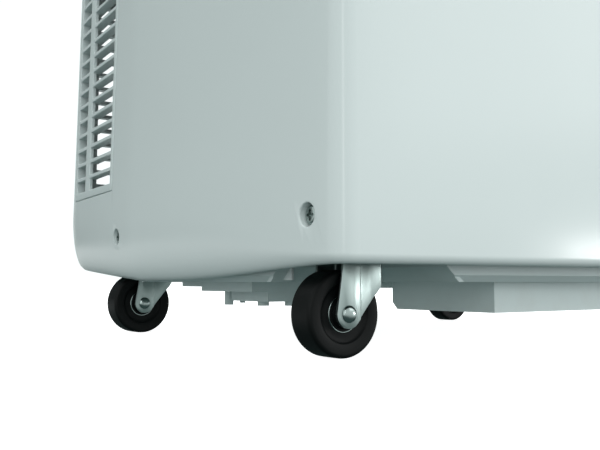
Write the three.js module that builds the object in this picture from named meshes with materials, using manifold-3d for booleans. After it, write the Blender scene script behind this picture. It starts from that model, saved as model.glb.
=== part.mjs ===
// Portable air conditioner on four swivel casters, in millimetres, +Z up.
// Origin: the centre of the plan, on the floor. The front faces -Y and +X is to the right of it.
import * as THREE from 'three';
import { mergeVertices } from 'three/addons/utils/BufferGeometryUtils.js';
import Module from 'manifold-3d';

const wasm = await Module();
wasm.setup();

// ---- Driving dimensions ----

// Housing
const BODY_WIDTH = 490;             // widest, across the soft edges of the two sides
const BODY_DEPTH = 450;             // front crown to the rim of the exhaust collar
const BODY_HEIGHT = 792;
const SIDE_FLARE = 8;               // how far each side leans out from its corners to its soft edge
const FRONT_CROWN = 14;             // how far the front bows out
const SOFT_EDGE_Y = 48;
const FRONT_CORNER = 12;            // length each corner curve takes from the faces it joins
const REAR_CORNER = 28;
const TAPER = Math.tan(THREE.MathUtils.degToRad(1));
const WALL = 3;
const SEAM = 0.5;                   // gap between neighbouring housing pieces
const TOUCH = 0.3;                  // gap where one piece rests on or against another
const SPLIT_SHARE = 0.15;            // how far round each rear corner the front shell reaches
const COVER_HEIGHT = 56;            // top cover, from its seam to the top

// Lower edge of the housing: it rolls in, low at the soft edge and higher at the front and rear
const LIP_FRONT_Z = 52.5;
const LIP_LOW_Z = 43.7;
const LIP_REAR_RISE = 0.07;         // rise per millimetre behind the soft edge
const ROLL_FRONT = { depth: 4.5, height: 5.5 };
const ROLL_SIDE = { depth: 12, height: 48 };

// Casters
const WHEEL_DIAMETER = 50;
const WHEEL_WIDTH = 19;
const CASTER_TRAIL = 21.7;
const CASTER_SIDE_INSET = 31.5 + WHEEL_DIAMETER / 2;   // widest point of a side to the swivel axes
const CASTER_FRONT_INSET = 53;      // front crown to the front swivel axes
const CASTER_SPACING_Y = BODY_DEPTH - 172;
const CASTER_TOP_Z = WHEEL_DIAMETER + 19.7;
const FORK_INSIDE = 22;
const FORK_SHEET = 2;
const AXLE_RADIUS = 4;
const AXLE_CLEARANCE = 0.45;

// Base pan
const PAN_INSET = 16;
const PAN_FLOOR_Z = 43;
const PAN_RIM_Z = 100;
const PAN_WALL = 3;
const POCKET_REACH = WHEEL_DIAMETER / 2 + 23.5;   // swivel axis to a pocket's inboard walls, low down
const POCKET_LEAN = 11;             // how much nearer those walls are above the wheel
const SUMP = { halfWidth: 98, y0: -192, y1: -96, z: 23.3, chamfer: 5 };

// Air grilles
const GRILLE_PITCH = 13.9;
const SLAT_HEIGHT = 2.2;
const GRILLE_DEPTH = 8;
const MULLION_DEPTH = 3;            // side grilles only: their mullions are thinner than their slats
const GRILLE_MARGIN = 6;
const LOWER_GRILLE_Z = 119;
const LOWER_GRILLE_ROWS = 14;
const SIDE_GRILLE_Y = 88;           // front edge of the side grilles
const UPPER_GRILLE_Z = 488;
const UPPER_GRILLE_ROWS = 16;
const REAR_GRILLE_HALF = 216;
const UPPER_GRILLE_HALF = 180;
const FILTER_THICKNESS = 5;
const LOWER_FILTER_HALF = 185;
const UPPER_FILTER_HALF = 176;

// Screws that hold the shell to the base pan
const SCREW_RECESS_RADIUS = 7.4;
const SCREW_RECESS_DEPTH = 5.5;
const SCREW_HEAD_RADIUS = 5.8;
const SCREW_SHANK_RADIUS = 2;
const SCREW_Z = CASTER_TOP_Z + 9.8;
const SCREW_FRONT_AHEAD = 11;       // ahead of the front swivel axis
const SCREW_REAR_BEHIND = 247;      // behind the front swivel axis

// Air path
const EXHAUST = { x: 92, z: 401, bore: 66, wall: 4 };
const OUTLET = { halfWidth: 170, y0: -182, y1: -104 };
const BLOWER_BLADES = 12;
const EVAP_BLOWER = { radius: 84, width: 62, y: -143, z: 592 };
const COND_BLOWER = { radius: 100, width: 62, x: 70, y: 104, z: 212 };
const PARTITION_Z = 472;

// Controls
const PANEL = { halfWidth: 105, y0: -84, y1: -26 };
const BUTTON_RADIUS = 8;
const BUTTON_PITCH = 30;
const BUTTON_TRAVEL = 1.5;
const BUTTON_CLEARANCE = 0.4;

// ---- Values that follow from the driving dimensions ----

const HALF_WIDTH = BODY_WIDTH / 2;
const FRONT_Y = -BODY_DEPTH / 2;
const COLLAR_STANDOFF = 6;          // how far the exhaust collar stands out of the rear face
const REAR_Y = BODY_DEPTH / 2 - COLLAR_STANDOFF;
const CORNER_X = HALF_WIDTH - SIDE_FLARE;
const CORNER_Y = FRONT_Y + FRONT_CROWN;
const SHELL_TOP_Z = BODY_HEIGHT - COVER_HEIGHT;
const TAPER_START_Z = LIP_LOW_Z + ROLL_SIDE.height;
const SWIVEL_X = HALF_WIDTH - CASTER_SIDE_INSET;
const FRONT_SWIVEL_Y = FRONT_Y + CASTER_FRONT_INSET;
const REAR_SWIVEL_Y = FRONT_SWIVEL_Y + CASTER_SPACING_Y;
const LOWER_GRILLE_TOP = grilleTop(LOWER_GRILLE_Z, LOWER_GRILLE_ROWS);
const UPPER_GRILLE_TOP = grilleTop(UPPER_GRILLE_Z, UPPER_GRILLE_ROWS);
const SCREW_FRONT_Y = FRONT_SWIVEL_Y - SCREW_FRONT_AHEAD;
const SCREW_REAR_Y = FRONT_SWIVEL_Y + SCREW_REAR_BEHIND;
const PAN_REAR_Y = REAR_Y * (1 - (2 * PAN_INSET) / BODY_DEPTH);
const BEYOND = 30;                  // overshoot of a cut past the face it goes through

function grilleTop(z, rows) {
  return z + 2 * GRILLE_MARGIN + rows * GRILLE_PITCH - SLAT_HEIGHT;
}

// ---- Solid helpers ----

function toSolid(geometry) {
  const WELD = 1e-4;
  geometry.deleteAttribute('normal');
  geometry.deleteAttribute('uv');
  const merged = mergeVertices(geometry, WELD);
  return new wasm.Manifold(new wasm.Mesh({
    numProp: 3,
    vertProperties: new Float32Array(merged.attributes.position.array),
    triVerts: new Uint32Array(merged.index.array),
  }));
}

function toGeometry(solid) {
  const mesh = solid.getMesh();
  const geometry = new THREE.BufferGeometry();
  geometry.setAttribute('position', new THREE.BufferAttribute(new Float32Array(mesh.vertProperties), 3));
  geometry.setIndex(new THREE.BufferAttribute(new Uint32Array(mesh.triVerts), 1));
  geometry.computeVertexNormals();
  return geometry;
}

function union(solids) {
  return solids.reduce((sum, next) => sum.add(next));
}

function box(x0, x1, y0, y1, z0, z1) {
  const geometry = new THREE.BoxGeometry(x1 - x0, y1 - y0, z1 - z0);
  geometry.translate((x0 + x1) / 2, (y0 + y1) / 2, (z0 + z1) / 2);
  return toSolid(geometry);
}

// A cylinder (or cone) whose axis starts at a point and runs along +X, +Y or +Z.
function rod(axis, start, length, radius, endRadius = radius, sides = 14) {
  const geometry = new THREE.CylinderGeometry(endRadius, radius, length, sides);
  geometry.translate(0, length / 2, 0);
  if (axis === 'z') geometry.rotateX(Math.PI / 2);
  if (axis === 'x') geometry.rotateZ(-Math.PI / 2);
  geometry.translate(start[0], start[1], start[2]);
  return toSolid(geometry);
}

// A turned piece: profile points are [radius, height] and close on themselves; its axis is +Z.
function turned(profile, sides = 14) {
  const points = profile.map(([r, h]) => new THREE.Vector2(r, h));
  points.push(points[0].clone());
  const geometry = new THREE.LatheGeometry(points, sides);
  geometry.rotateX(Math.PI / 2);
  return toSolid(geometry);
}

// A flat outline of [x, y] points, pulled up from z0 to z1.
function prism(outline, z0, z1) {
  const shape = new THREE.Shape(outline.map(([x, y]) => new THREE.Vector2(x, y)));
  const geometry = new THREE.ExtrudeGeometry(shape, { depth: z1 - z0, bevelEnabled: false });
  geometry.translate(0, 0, z0);
  return toSolid(geometry);
}

// An outline of [x, z] points in a plane across the unit, pulled from y0 back to y1.
function prismAlongY(outline, y0, y1) {
  const shape = new THREE.Shape(outline.map(([x, z]) => new THREE.Vector2(x, z)));
  const geometry = new THREE.ExtrudeGeometry(shape, { depth: y1 - y0, bevelEnabled: false });
  geometry.rotateX(Math.PI / 2);
  geometry.translate(0, y1, 0);
  return toSolid(geometry);
}

// A round tube along a smooth line through points.
function pipe(points, radius, stepsPerPoint = 3) {
  const PIPE_SIDES = 6;
  const path = new THREE.CatmullRomCurve3(points.map((p) => new THREE.Vector3(...p)), false, 'centripetal');
  const section = [];
  for (let i = 0; i < PIPE_SIDES; i += 1) {
    const turn = (2 * Math.PI * i) / PIPE_SIDES;
    section.push(new THREE.Vector2(radius * Math.cos(turn), radius * Math.sin(turn)));
  }
  const steps = stepsPerPoint * (points.length - 1);
  const shape = new THREE.Shape(section);
  return toSolid(new THREE.ExtrudeGeometry(shape, { extrudePath: path, steps, bevelEnabled: false }));
}

// A sheet of even wall between two grids of points, outer[column][row] and inner[column][row].
function sheet(outer, inner) {
  const columns = outer.length;
  const rows = outer[0].length;
  const vertices = [...outer.flat(), ...inner.flat()].flat();
  const at = (side, column, row) => side * columns * rows + column * rows + row;
  const triangles = [];
  const quad = (a, b, c, d) => triangles.push(a, b, c, a, c, d);
  for (let i = 0; i + 1 < columns; i += 1) {
    for (let j = 0; j + 1 < rows; j += 1) {
      quad(at(0, i, j), at(0, i + 1, j), at(0, i + 1, j + 1), at(0, i, j + 1));
      quad(at(1, i, j), at(1, i, j + 1), at(1, i + 1, j + 1), at(1, i + 1, j));
    }
    quad(at(0, i, 0), at(1, i, 0), at(1, i + 1, 0), at(0, i + 1, 0));
    quad(at(0, i, rows - 1), at(0, i + 1, rows - 1), at(1, i + 1, rows - 1), at(1, i, rows - 1));
  }
  for (let j = 0; j + 1 < rows; j += 1) {
    quad(at(0, 0, j), at(0, 0, j + 1), at(1, 0, j + 1), at(1, 0, j));
    const last = columns - 1;
    quad(at(0, last, j), at(1, last, j), at(1, last, j + 1), at(0, last, j + 1));
  }
  const geometry = new THREE.BufferGeometry();
  geometry.setAttribute('position', new THREE.Float32BufferAttribute(vertices, 3));
  geometry.setIndex(triangles);
  return toSolid(geometry);
}

// Stacks closed rings of equal point counts into one solid with flat ends.
function loft(rings) {
  const count = rings[0].length;
  const vertices = rings.flat().flat();
  const triangles = [];
  for (let k = 0; k + 1 < rings.length; k += 1) {
    for (let i = 0; i < count; i += 1) {
      const next = (i + 1) % count;
      const [a, b] = [k * count + i, k * count + next];
      triangles.push(a, b, b + count, a, b + count, a + count);
    }
  }
  const flat = rings[0].map(([x, y]) => new THREE.Vector2(x, y));
  const top = (rings.length - 1) * count;
  for (const [a, b, c] of THREE.ShapeUtils.triangulateShape(flat, [])) {
    triangles.push(a, c, b, top + a, top + b, top + c);
  }
  const geometry = new THREE.BufferGeometry();
  geometry.setAttribute('position', new THREE.Float32BufferAttribute(vertices, 3));
  geometry.setIndex(triangles);
  return toSolid(geometry);
}

// ---- Plan outline of the housing ----

// A curve from p to q that bows out to the right of its direction by rise.
function bow(p, q, rise) {
  const along = q.clone().sub(p).normalize();
  const middle = p.clone().add(q).multiplyScalar(0.5);
  middle.add(new THREE.Vector2(along.y, -along.x).multiplyScalar(2 * rise));
  return new THREE.QuadraticBezierCurve(p, middle, q);
}

const SIDE_BOW = 1;
const PLAN = planCurves();

function planCurves() {
  const crownX = CORNER_X - FRONT_CORNER;
  const crownY = FRONT_Y + FRONT_CROWN * (crownX / CORNER_X) ** 2;
  const frontSideX = CORNER_X + (SIDE_FLARE * FRONT_CORNER) / (SOFT_EDGE_Y - CORNER_Y);
  const rearSideX = CORNER_X + (SIDE_FLARE * REAR_CORNER) / (REAR_Y - SOFT_EDGE_Y);
  const crownEnd = new THREE.Vector2(crownX, crownY);
  const sideStart = new THREE.Vector2(frontSideX, CORNER_Y + FRONT_CORNER);
  const softEdge = new THREE.Vector2(HALF_WIDTH, SOFT_EDGE_Y);
  const sideEnd = new THREE.Vector2(rearSideX, REAR_Y - REAR_CORNER);
  const backEnd = new THREE.Vector2(CORNER_X - REAR_CORNER, REAR_Y);
  const crownStart = new THREE.Vector2(-crownX, crownY);
  const frontControl = new THREE.Vector2(CORNER_X, CORNER_Y);
  const rearControl = new THREE.Vector2(CORNER_X, REAR_Y);
  return {
    crown: bow(crownStart, crownEnd, crownY - FRONT_Y),
    frontCorner: new THREE.QuadraticBezierCurve(crownEnd, frontControl, sideStart),
    side: bow(sideStart, softEdge, SIDE_BOW),
    rearSide: bow(softEdge, sideEnd, SIDE_BOW),
    rearCorner: new THREE.QuadraticBezierCurve(sideEnd, rearControl, backEnd),
    back: new THREE.LineCurve(backEnd, new THREE.Vector2(0, REAR_Y)),
  };
}

// Points with outward normals along one plan curve; the last point belongs to the next curve.
function stations(curve, count, from = 0, to = 1) {
  const list = [];
  for (let i = 0; i < count; i += 1) {
    const t = from + ((to - from) * i) / count;
    const point = curve.getPoint(t);
    const tangent = curve.getTangent(t);
    list.push({ x: point.x, y: point.y, nx: tangent.y, ny: -tangent.x });
  }
  return list;
}

function mirrored(list) {
  return list.map((s) => ({ ...s, x: -s.x, nx: -s.nx })).reverse();
}

const FRONT_HALF = [
  ...stations(PLAN.crown, 5, 0.5, 1),
  ...stations(PLAN.frontCorner, 4),
  ...stations(PLAN.side, 5),
  ...stations(PLAN.rearSide, 3),
];
const CORNER_STATIONS = stations(PLAN.rearCorner, 4);
const SPLIT_STATION = stations(PLAN.rearCorner, 1, SPLIT_SHARE, SPLIT_SHARE)[0];
const BACK_STATIONS = stations(PLAN.back, 1);
const RIGHT_HALF = [...FRONT_HALF, ...CORNER_STATIONS, ...BACK_STATIONS];

// The whole outline as a ring of [x, y, z] at one height, drawn in by an inset on all sides.
function planRing(inset, z) {
  const shrinkX = 1 - inset / HALF_WIDTH;
  const shrinkY = 1 - (2 * inset) / BODY_DEPTH;
  const left = mirrored(RIGHT_HALF.slice(1));
  return [...RIGHT_HALF, ...left].map((s) => [s.x * shrinkX, s.y * shrinkY, z]);
}

function taperInset(z) {
  return Math.max(0, (z - TAPER_START_Z) * TAPER);
}

// Half-width of the housing at a place along a side, on its outer face.
function sideX(y, z) {
  const curve = y < SOFT_EDGE_Y ? PLAN.side : PLAN.rearSide;
  const start = curve.getPoint(0);
  const end = curve.getPoint(1);
  const t = THREE.MathUtils.clamp((y - start.y) / (end.y - start.y), 0, 1);
  return curve.getPoint(t).x - taperInset(z);
}

// ---- Housing shells ----

// How far along from the soft edge (0) to the front corner (1), eased at both ends.
function forwardness(y) {
  const EASE = 1.5;
  const share = THREE.MathUtils.clamp((SOFT_EDGE_Y - y) / (SOFT_EDGE_Y - CORNER_Y), 0, 1);
  return THREE.MathUtils.smoothstep(share ** EASE, 0, 1);
}

function lipZ(y) {
  if (y <= SOFT_EDGE_Y) {
    return THREE.MathUtils.lerp(LIP_LOW_Z, LIP_FRONT_Z, forwardness(y));
  }
  const REAR_ROUND_START = 34;      // ahead of the rear face, where the lip starts to round up
  const REAR_ROUND = 0.005;
  const past = Math.max(0, y - (REAR_Y - REAR_ROUND_START));
  return LIP_LOW_Z + LIP_REAR_RISE * (y - SOFT_EDGE_Y) + REAR_ROUND * past * past;
}

// Outer and inner column of points of a shell at one station, from its lip up to topZ.
function shellColumn(station, topZ) {
  const ROLL_STEPS = 3;
  const forward = forwardness(station.y);
  const depth = THREE.MathUtils.lerp(ROLL_SIDE.depth, ROLL_FRONT.depth, forward);
  const height = THREE.MathUtils.lerp(ROLL_SIDE.height, ROLL_FRONT.height, forward);
  const lip = lipZ(station.y);
  const place = (inset, z) => [station.x - station.nx * inset, station.y - station.ny * inset, z];
  const outer = [];
  const inner = [];
  for (let k = 0; k <= ROLL_STEPS; k += 1) {
    const turn = (Math.PI / 2) * (k / ROLL_STEPS);
    const [s, c] = [Math.sin(turn), Math.cos(turn)];
    outer.push(place(depth * (1 - s), lip + height * (1 - c)));
    inner.push(place(depth - (depth - WALL) * s, lip + height - (height - WALL) * c));
  }
  outer.push(place(taperInset(topZ), topZ));
  inner.push(place(taperInset(topZ) + WALL, topZ));
  return { outer, inner };
}

function shellAlong(list, topZ) {
  const columns = list.map((station) => shellColumn(station, topZ));
  return sheet(columns.map((c) => c.outer), columns.map((c) => c.inner));
}

// The four screw places: side (-1 left, 1 right) and position along the side.
const SCREW_PLACES = [-1, 1].flatMap((side) => [SCREW_FRONT_Y, SCREW_REAR_Y].map((y) => ({ side, y })));

// A rod from a side's outer face inwards, between two depths below that face.
function sideRod(place, from, to, radius, sides = 12) {
  const face = sideX(place.y, SCREW_Z);
  const x = place.side < 0 ? -face + from : face - to;
  return rod('x', [x, place.y, SCREW_Z], to - from, radius, radius, sides);
}

const HANDLE = { y0: -30, y1: 90, z0: 622, z1: 660, depth: 34 };

function frontShell() {
  const right = [...FRONT_HALF, CORNER_STATIONS[0], SPLIT_STATION];
  let solid = shellAlong([...mirrored(right.slice(1)), ...right], SHELL_TOP_Z - SEAM);
  const notchTop = LOWER_GRILLE_TOP + SEAM;
  const notchFront = SIDE_GRILLE_Y - SEAM;
  solid = solid.subtract(box(-HALF_WIDTH, HALF_WIDTH, notchFront, REAR_Y, LOWER_GRILLE_Z - SEAM, notchTop));
  for (const place of SCREW_PLACES) {
    solid = solid.add(sideRod(place, WALL / 2, SCREW_RECESS_DEPTH + WALL, SCREW_RECESS_RADIUS + WALL));
    solid = solid.subtract(sideRod(place, -BEYOND, SCREW_RECESS_DEPTH, SCREW_RECESS_RADIUS));
    solid = solid.subtract(sideRod(place, 0, PAN_INSET + BEYOND, SCREW_SHANK_RADIUS + TOUCH));
  }
  const { y0, y1, z0, z1 } = HANDLE;
  solid = solid.subtract(box(-HALF_WIDTH, HALF_WIDTH, y0, y1, z0, z1));
  return solid;
}

// A lift cup in the side: an open box behind the opening, with a flange on the inside of the shell.
function handleCup(side) {
  const { y0, y1, z0, z1, depth } = HANDLE;
  const face = Math.min(sideX(y0, z1), sideX(y1, z1)) - WALL - SIDE_BOW;
  const back = face - depth;
  const flange = 6;
  let solid = box(back, face, y0 - WALL, y1 + WALL, z0 - WALL, z1 + WALL);
  solid = solid.add(box(face - WALL, face, y0 - flange, y1 + flange, z0 - flange, z1 + flange));
  solid = solid.subtract(box(back + WALL, face + BEYOND, y0, y1, z0, z1));
  return side > 0 ? solid : solid.mirror([1, 0, 0]);
}

const DRAIN = { x: -120, z: 84, radius: 9 };
const INLET = { x: 196, z: PAN_RIM_Z + 6, radius: 9 };

function rearShell() {
  const edge = { ...SPLIT_STATION, y: SPLIT_STATION.y + SEAM };
  const right = [edge, ...CORNER_STATIONS.slice(1), ...BACK_STATIONS];
  const middle = { x: 0, y: REAR_Y, nx: 0, ny: 1 };
  const list = [...right, middle, ...mirrored(right)];
  let solid = shellAlong(list, SHELL_TOP_Z - SEAM);
  const window = (half, z0, z1) => box(-half, half, REAR_Y - BEYOND, REAR_Y + BEYOND, z0, z1);
  solid = solid.subtract(window(REAR_GRILLE_HALF + SEAM, LOWER_GRILLE_Z - SEAM, LOWER_GRILLE_TOP + SEAM));
  solid = solid.subtract(window(UPPER_GRILLE_HALF + SEAM, UPPER_GRILLE_Z - SEAM, UPPER_GRILLE_TOP + SEAM));
  const hole = (x, z, radius) => rod('y', [x, REAR_Y - BEYOND, z], 2 * BEYOND, radius, radius, 24);
  solid = solid.subtract(hole(EXHAUST.x, EXHAUST.z, EXHAUST.bore + EXHAUST.wall + 3 * SEAM));
  solid = solid.subtract(hole(DRAIN.x, DRAIN.z, DRAIN.radius + 2));
  solid = solid.subtract(hole(INLET.x, INLET.z, INLET.radius + SEAM));
  return solid;
}

function topCover() {
  const start = taperInset(SHELL_TOP_Z);
  const EDGE_RADIUS = 24;
  const dome = (drop, radius, floorZ) => {
    const rings = [planRing(start + drop, floorZ)];
    const STEPS = 3;
    const shoulder = BODY_HEIGHT - drop - radius;
    for (let k = 0; k <= STEPS; k += 1) {
      const turn = (Math.PI / 2) * (k / STEPS);
      const inset = start + drop + radius * (1 - Math.cos(turn));
      rings.push(planRing(inset, shoulder + radius * Math.sin(turn)));
    }
    return loft(rings);
  };
  let solid = dome(0, EDGE_RADIUS, SHELL_TOP_Z).subtract(dome(WALL, EDGE_RADIUS - WALL, SHELL_TOP_Z - 1));
  const ceiling = BODY_HEIGHT - 1;
  const outlet = OUTLET;
  const seat = FLAP_SEAT_Z;
  const w = WALL;
  solid = solid.add(box(
    -outlet.halfWidth - w, outlet.halfWidth + w, outlet.y0 - w, outlet.y1 + w, seat - w, ceiling));
  const throat = OUTLET_THROAT;
  solid = solid.add(box(-throat.x - w, throat.x + w, throat.y0 - w, throat.y1 + w, throat.z, seat));
  solid = solid.subtract(box(-throat.x, throat.x, throat.y0, throat.y1, throat.z - 1, BODY_HEIGHT + 1));
  solid = solid.subtract(box(
    -outlet.halfWidth, outlet.halfWidth, outlet.y0, outlet.y1, seat, BODY_HEIGHT + 1));
  solid = solid.add(box(-throat.x - 1, throat.x + 1, VANE_Y - 3, VANE_Y + 3, throat.z, throat.z + VANE_BAR));
  const { halfWidth, y0, y1 } = PANEL;
  const well = BODY_HEIGHT - PANEL_WELL;
  solid = solid.add(box(-halfWidth - w, halfWidth + w, y0 - w, y1 + w, well - w, ceiling));
  solid = solid.subtract(box(-halfWidth, halfWidth, y0, y1, well, BODY_HEIGHT + 1));
  return solid;
}

const FLAP_THICKNESS = 5;
const FLAP_SEAT_Z = BODY_HEIGHT - FLAP_THICKNESS - 1;
const OUTLET_THROAT = {
  x: OUTLET.halfWidth - 8,
  y0: OUTLET.y0 + 8,
  y1: OUTLET.y1 - 10,
  z: SHELL_TOP_Z + 4,
};
const VANE_Y = (OUTLET_THROAT.y0 + OUTLET_THROAT.y1) / 2;
const VANE_BAR = 3;                 // the bar across the throat that the vanes stand on
const PANEL_WELL = 15;              // depth of the well under the control panel

// ---- Grilles and filters ----

// Cuts rows of slots through a panel; each slot column is a [low, high] pair across the panel.
function slotCuts(columns, z, rows, cut) {
  const slots = [];
  for (let row = 0; row < rows; row += 1) {
    const z0 = z + GRILLE_MARGIN + row * GRILLE_PITCH;
    for (const [low, high] of columns) {
      slots.push(cut(low, high, z0, z0 + GRILLE_PITCH - SLAT_HEIGHT));
    }
  }
  return union(slots);
}

const SIDE_GRILLE_COLUMNS = [[93, 150], [162, 190]];

function sideGrille(side) {
  const middleY = (SIDE_GRILLE_Y + CORNER_STATIONS[0].y) / 2;
  const outline = [SIDE_GRILLE_Y, middleY].map((y) => [sideX(y, 0), y]);
  outline.push([CORNER_STATIONS[0].x, CORNER_STATIONS[0].y], [SPLIT_STATION.x, SPLIT_STATION.y - 3 * SEAM]);
  const backOutline = outline.map(([x, y]) => [x - GRILLE_DEPTH, y]).reverse();
  const ring = (z) => [...outline, ...backOutline].map(([x, y]) => [x - taperInset(z), y, z]);
  let solid = loft([ring(LOWER_GRILLE_Z), ring(LOWER_GRILLE_TOP)]);
  const cut = (low, high, z0, z1) => box(HALF_WIDTH - BEYOND, HALF_WIDTH + 1, low, high, z0, z1);
  solid = solid.subtract(slotCuts(SIDE_GRILLE_COLUMNS, LOWER_GRILLE_Z, LOWER_GRILLE_ROWS, cut));
  const [front, back] = [SIDE_GRILLE_COLUMNS[0][1], SIDE_GRILLE_COLUMNS[1][0]];
  const behind = (low, high, z0, z1) => {
    return box(HALF_WIDTH - BEYOND, sideX(high, z1) - MULLION_DEPTH, low, high, z0, z1);
  };
  solid = solid.subtract(slotCuts([[front - 1, back + 1]], LOWER_GRILLE_Z, LOWER_GRILLE_ROWS, behind));
  return side > 0 ? solid : solid.mirror([1, 0, 0]);
}

// Even slot columns between -half and half, with a mullion between neighbours.
function evenColumns(half, count, mullion) {
  const pitch = (2 * half + mullion) / count;
  return Array.from({ length: count }, (_, i) => [-half + i * pitch, -half + (i + 1) * pitch - mullion]);
}

// A rear grille leans with the rear face; its slats run across and its mullions stand upright.
function rearGrille(half, z, rows, columnCount) {
  const MULLION = 6;
  const END = 4;                    // solid edge left and right of the outer cells
  const ring = (height) => {
    const face = REAR_Y - taperInset(height);
    const back = face - GRILLE_DEPTH;
    return [[-half, back, height], [half, back, height], [half, face, height], [-half, face, height]];
  };
  const solid = loft([ring(z), ring(grilleTop(z, rows))]);
  const cut = (low, high, z0, z1) => box(low, high, REAR_Y - BEYOND, REAR_Y + 1, z0, z1);
  return solid.subtract(slotCuts(evenColumns(half - END, columnCount, MULLION), z, rows, cut));
}

// A filter cassette clipped behind a rear grille: a frame with crossing bars.
function filter(half, z, rows, columnCount) {
  const BAR = 3;
  const FRAME = 8;
  const ROWS = 3;
  const EDGE = 4;
  const top = grilleTop(z, rows);
  const back = REAR_Y - taperInset(top) - GRILLE_DEPTH - TOUCH;
  const y0 = back - FILTER_THICKNESS;
  let solid = box(-half, half, y0, back, z + EDGE, top - EDGE);
  const low = z + EDGE + FRAME;
  const pitch = (top - EDGE - FRAME - low + BAR) / ROWS;
  for (let row = 0; row < ROWS; row += 1) {
    const z0 = low + row * pitch;
    for (const [a, b] of evenColumns(half - FRAME, columnCount, BAR)) {
      solid = solid.subtract(box(a, b, y0 - 1, back + 1, z0, z0 + pitch - BAR));
    }
  }
  return solid;
}

// ---- Base pan ----

// Steps and bosses under the pan, the same on both sides; z is the underside of each.
const PAN_STEPS = [
  { x0: 150, x1: 196, y0: -58, y1: 17, z: 36 },
  { x0: 138, x1: 176, y0: -48, y1: 5, z: 28.5 },
];
const PAN_BOSSES = [
  { x: 173.7, y: 12.7, z: 25, radius: 3.5 },
  { x: 164, y: 8, z: 26.5, radius: 2.2 },
  { x: 165.7, y: -25.5, z: 25, radius: 4.4 },
  { x: 148.8, y: -37.3, z: 25, radius: 4.4 },
];

function basePan() {
  const EDGE = 4;
  const edge = [planRing(PAN_INSET + EDGE, PAN_FLOOR_Z), planRing(PAN_INSET, PAN_FLOOR_Z + EDGE)];
  let solid = loft([...edge, planRing(PAN_INSET, PAN_RIM_Z)]);
  const inset = PAN_INSET + PAN_WALL;
  solid = solid.subtract(loft([planRing(inset, PAN_FLOOR_Z + PAN_WALL), planRing(inset, PAN_RIM_Z + 1)]));
  const bounds = loft([planRing(PAN_INSET + 1, PAN_FLOOR_Z), planRing(PAN_INSET + 1, PAN_RIM_Z)]);
  const ceiling = CASTER_TOP_Z + TOUCH;
  for (const [sx, sy] of CASTER_PLACES) {
    const block = pocketBlock(sx, sy, PAN_WALL, PAN_FLOOR_Z, ceiling + PAN_WALL);
    solid = solid.add(block.intersect(bounds));
    solid = solid.subtract(pocketBlock(sx, sy, 0, PAN_FLOOR_Z - 1, ceiling));
  }
  const { halfWidth, y0, y1, z, chamfer } = SUMP;
  const sump = (grow, low, high) => {
    const [half, front] = [halfWidth - grow, y0 + grow];
    const ring = (back, height) => [
      [-half, front, height], [half, front, height], [half, back, height], [-half, back, height],
    ];
    const back = y1 - grow;
    return loft([ring(back - chamfer, low), ring(back, low + chamfer), ring(back, high)]);
  };
  solid = solid.add(sump(0, z, PAN_FLOOR_Z + 1));
  solid = solid.subtract(sump(PAN_WALL, z + PAN_WALL, PAN_FLOOR_Z + PAN_WALL + 1));
  for (const side of [-1, 1]) {
    for (const step of PAN_STEPS) {
      const [low, high] = side < 0 ? [-step.x1, -step.x0] : [step.x0, step.x1];
      solid = solid.add(box(low, high, step.y0, step.y1, step.z, PAN_FLOOR_Z + 1));
    }
    for (const boss of PAN_BOSSES) {
      const start = [side * boss.x, boss.y, boss.z];
      solid = solid.add(rod('z', start, PAN_FLOOR_Z + 1 - boss.z, boss.radius, boss.radius, 12));
    }
  }
  for (const place of SCREW_PLACES) {
    const innerEnd = PAN_INSET + PAN_WALL + 6;
    solid = solid.add(sideRod(place, SCREW_RECESS_DEPTH + WALL + TOUCH, innerEnd, 7, 12));
    solid = solid.subtract(sideRod(place, SCREW_RECESS_DEPTH, innerEnd - 1, SCREW_SHANK_RADIUS + TOUCH, 12));
  }
  for (const [x, y] of COMPRESSOR_FEET) {
    solid = solid.add(rod('z', [x, y, PAN_FLOOR_Z + 1], FOOT_BASE_Z - PAN_FLOOR_Z - 1, 14, 12, 12));
  }
  const spoutHole = rod('y', [DRAIN.x, PAN_REAR_Y - PAN_WALL - 4, DRAIN.z], 14, DRAIN.radius + 2 * TOUCH);
  return solid.subtract(spoutHole);
}

const CASTER_PLACES = [-1, 1].flatMap((side) => {
  return [FRONT_SWIVEL_Y, REAR_SWIVEL_Y].map((y) => [side * SWIVEL_X, y]);
});
const CASTER_NAMES = ['front_left', 'rear_left', 'front_right', 'rear_right'];

// The corner block around one caster: open to the outside. Its inboard walls lean out below the wheel's top.
function pocketBlock(sx, sy, grow, z0, z1) {
  const [ox, oy] = [Math.sign(sx), sy < 0 ? -1 : 1];
  const outX = ox * (HALF_WIDTH + BEYOND);
  const outY = oy * (BODY_DEPTH / 2 + BEYOND);
  const ring = (reach, z) => {
    const [inX, inY] = [sx - ox * (reach + grow), sy - oy * (reach + grow)];
    const [x0, x1] = [Math.min(inX, outX), Math.max(inX, outX)];
    const [y0, y1] = [Math.min(inY, outY), Math.max(inY, outY)];
    return [[x0, y0, z], [x1, y0, z], [x1, y1, z], [x0, y1, z]];
  };
  const upright = POCKET_REACH - POCKET_LEAN;
  return loft([ring(POCKET_REACH, z0), ring(upright, WHEEL_DIAMETER + 2), ring(upright, z1)]);
}

// ---- Casters, each built around its own swivel axis ----

const PLATE_SHEET = 2.5;
const RACEWAY = 6;

function casterPlate() {
  const plateZ = CASTER_TOP_Z - PLATE_SHEET;
  const low = plateZ - RACEWAY;
  const raceway = turned([[0, low], [18, low], [21, low + RACEWAY / 2], [21, plateZ + 1], [0, plateZ + 1]]);
  return box(-30, 30, -26, 26, plateZ, CASTER_TOP_Z).add(raceway);
}

const FORK_TOP_Z = CASTER_TOP_Z - PLATE_SHEET - RACEWAY - TOUCH;

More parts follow.
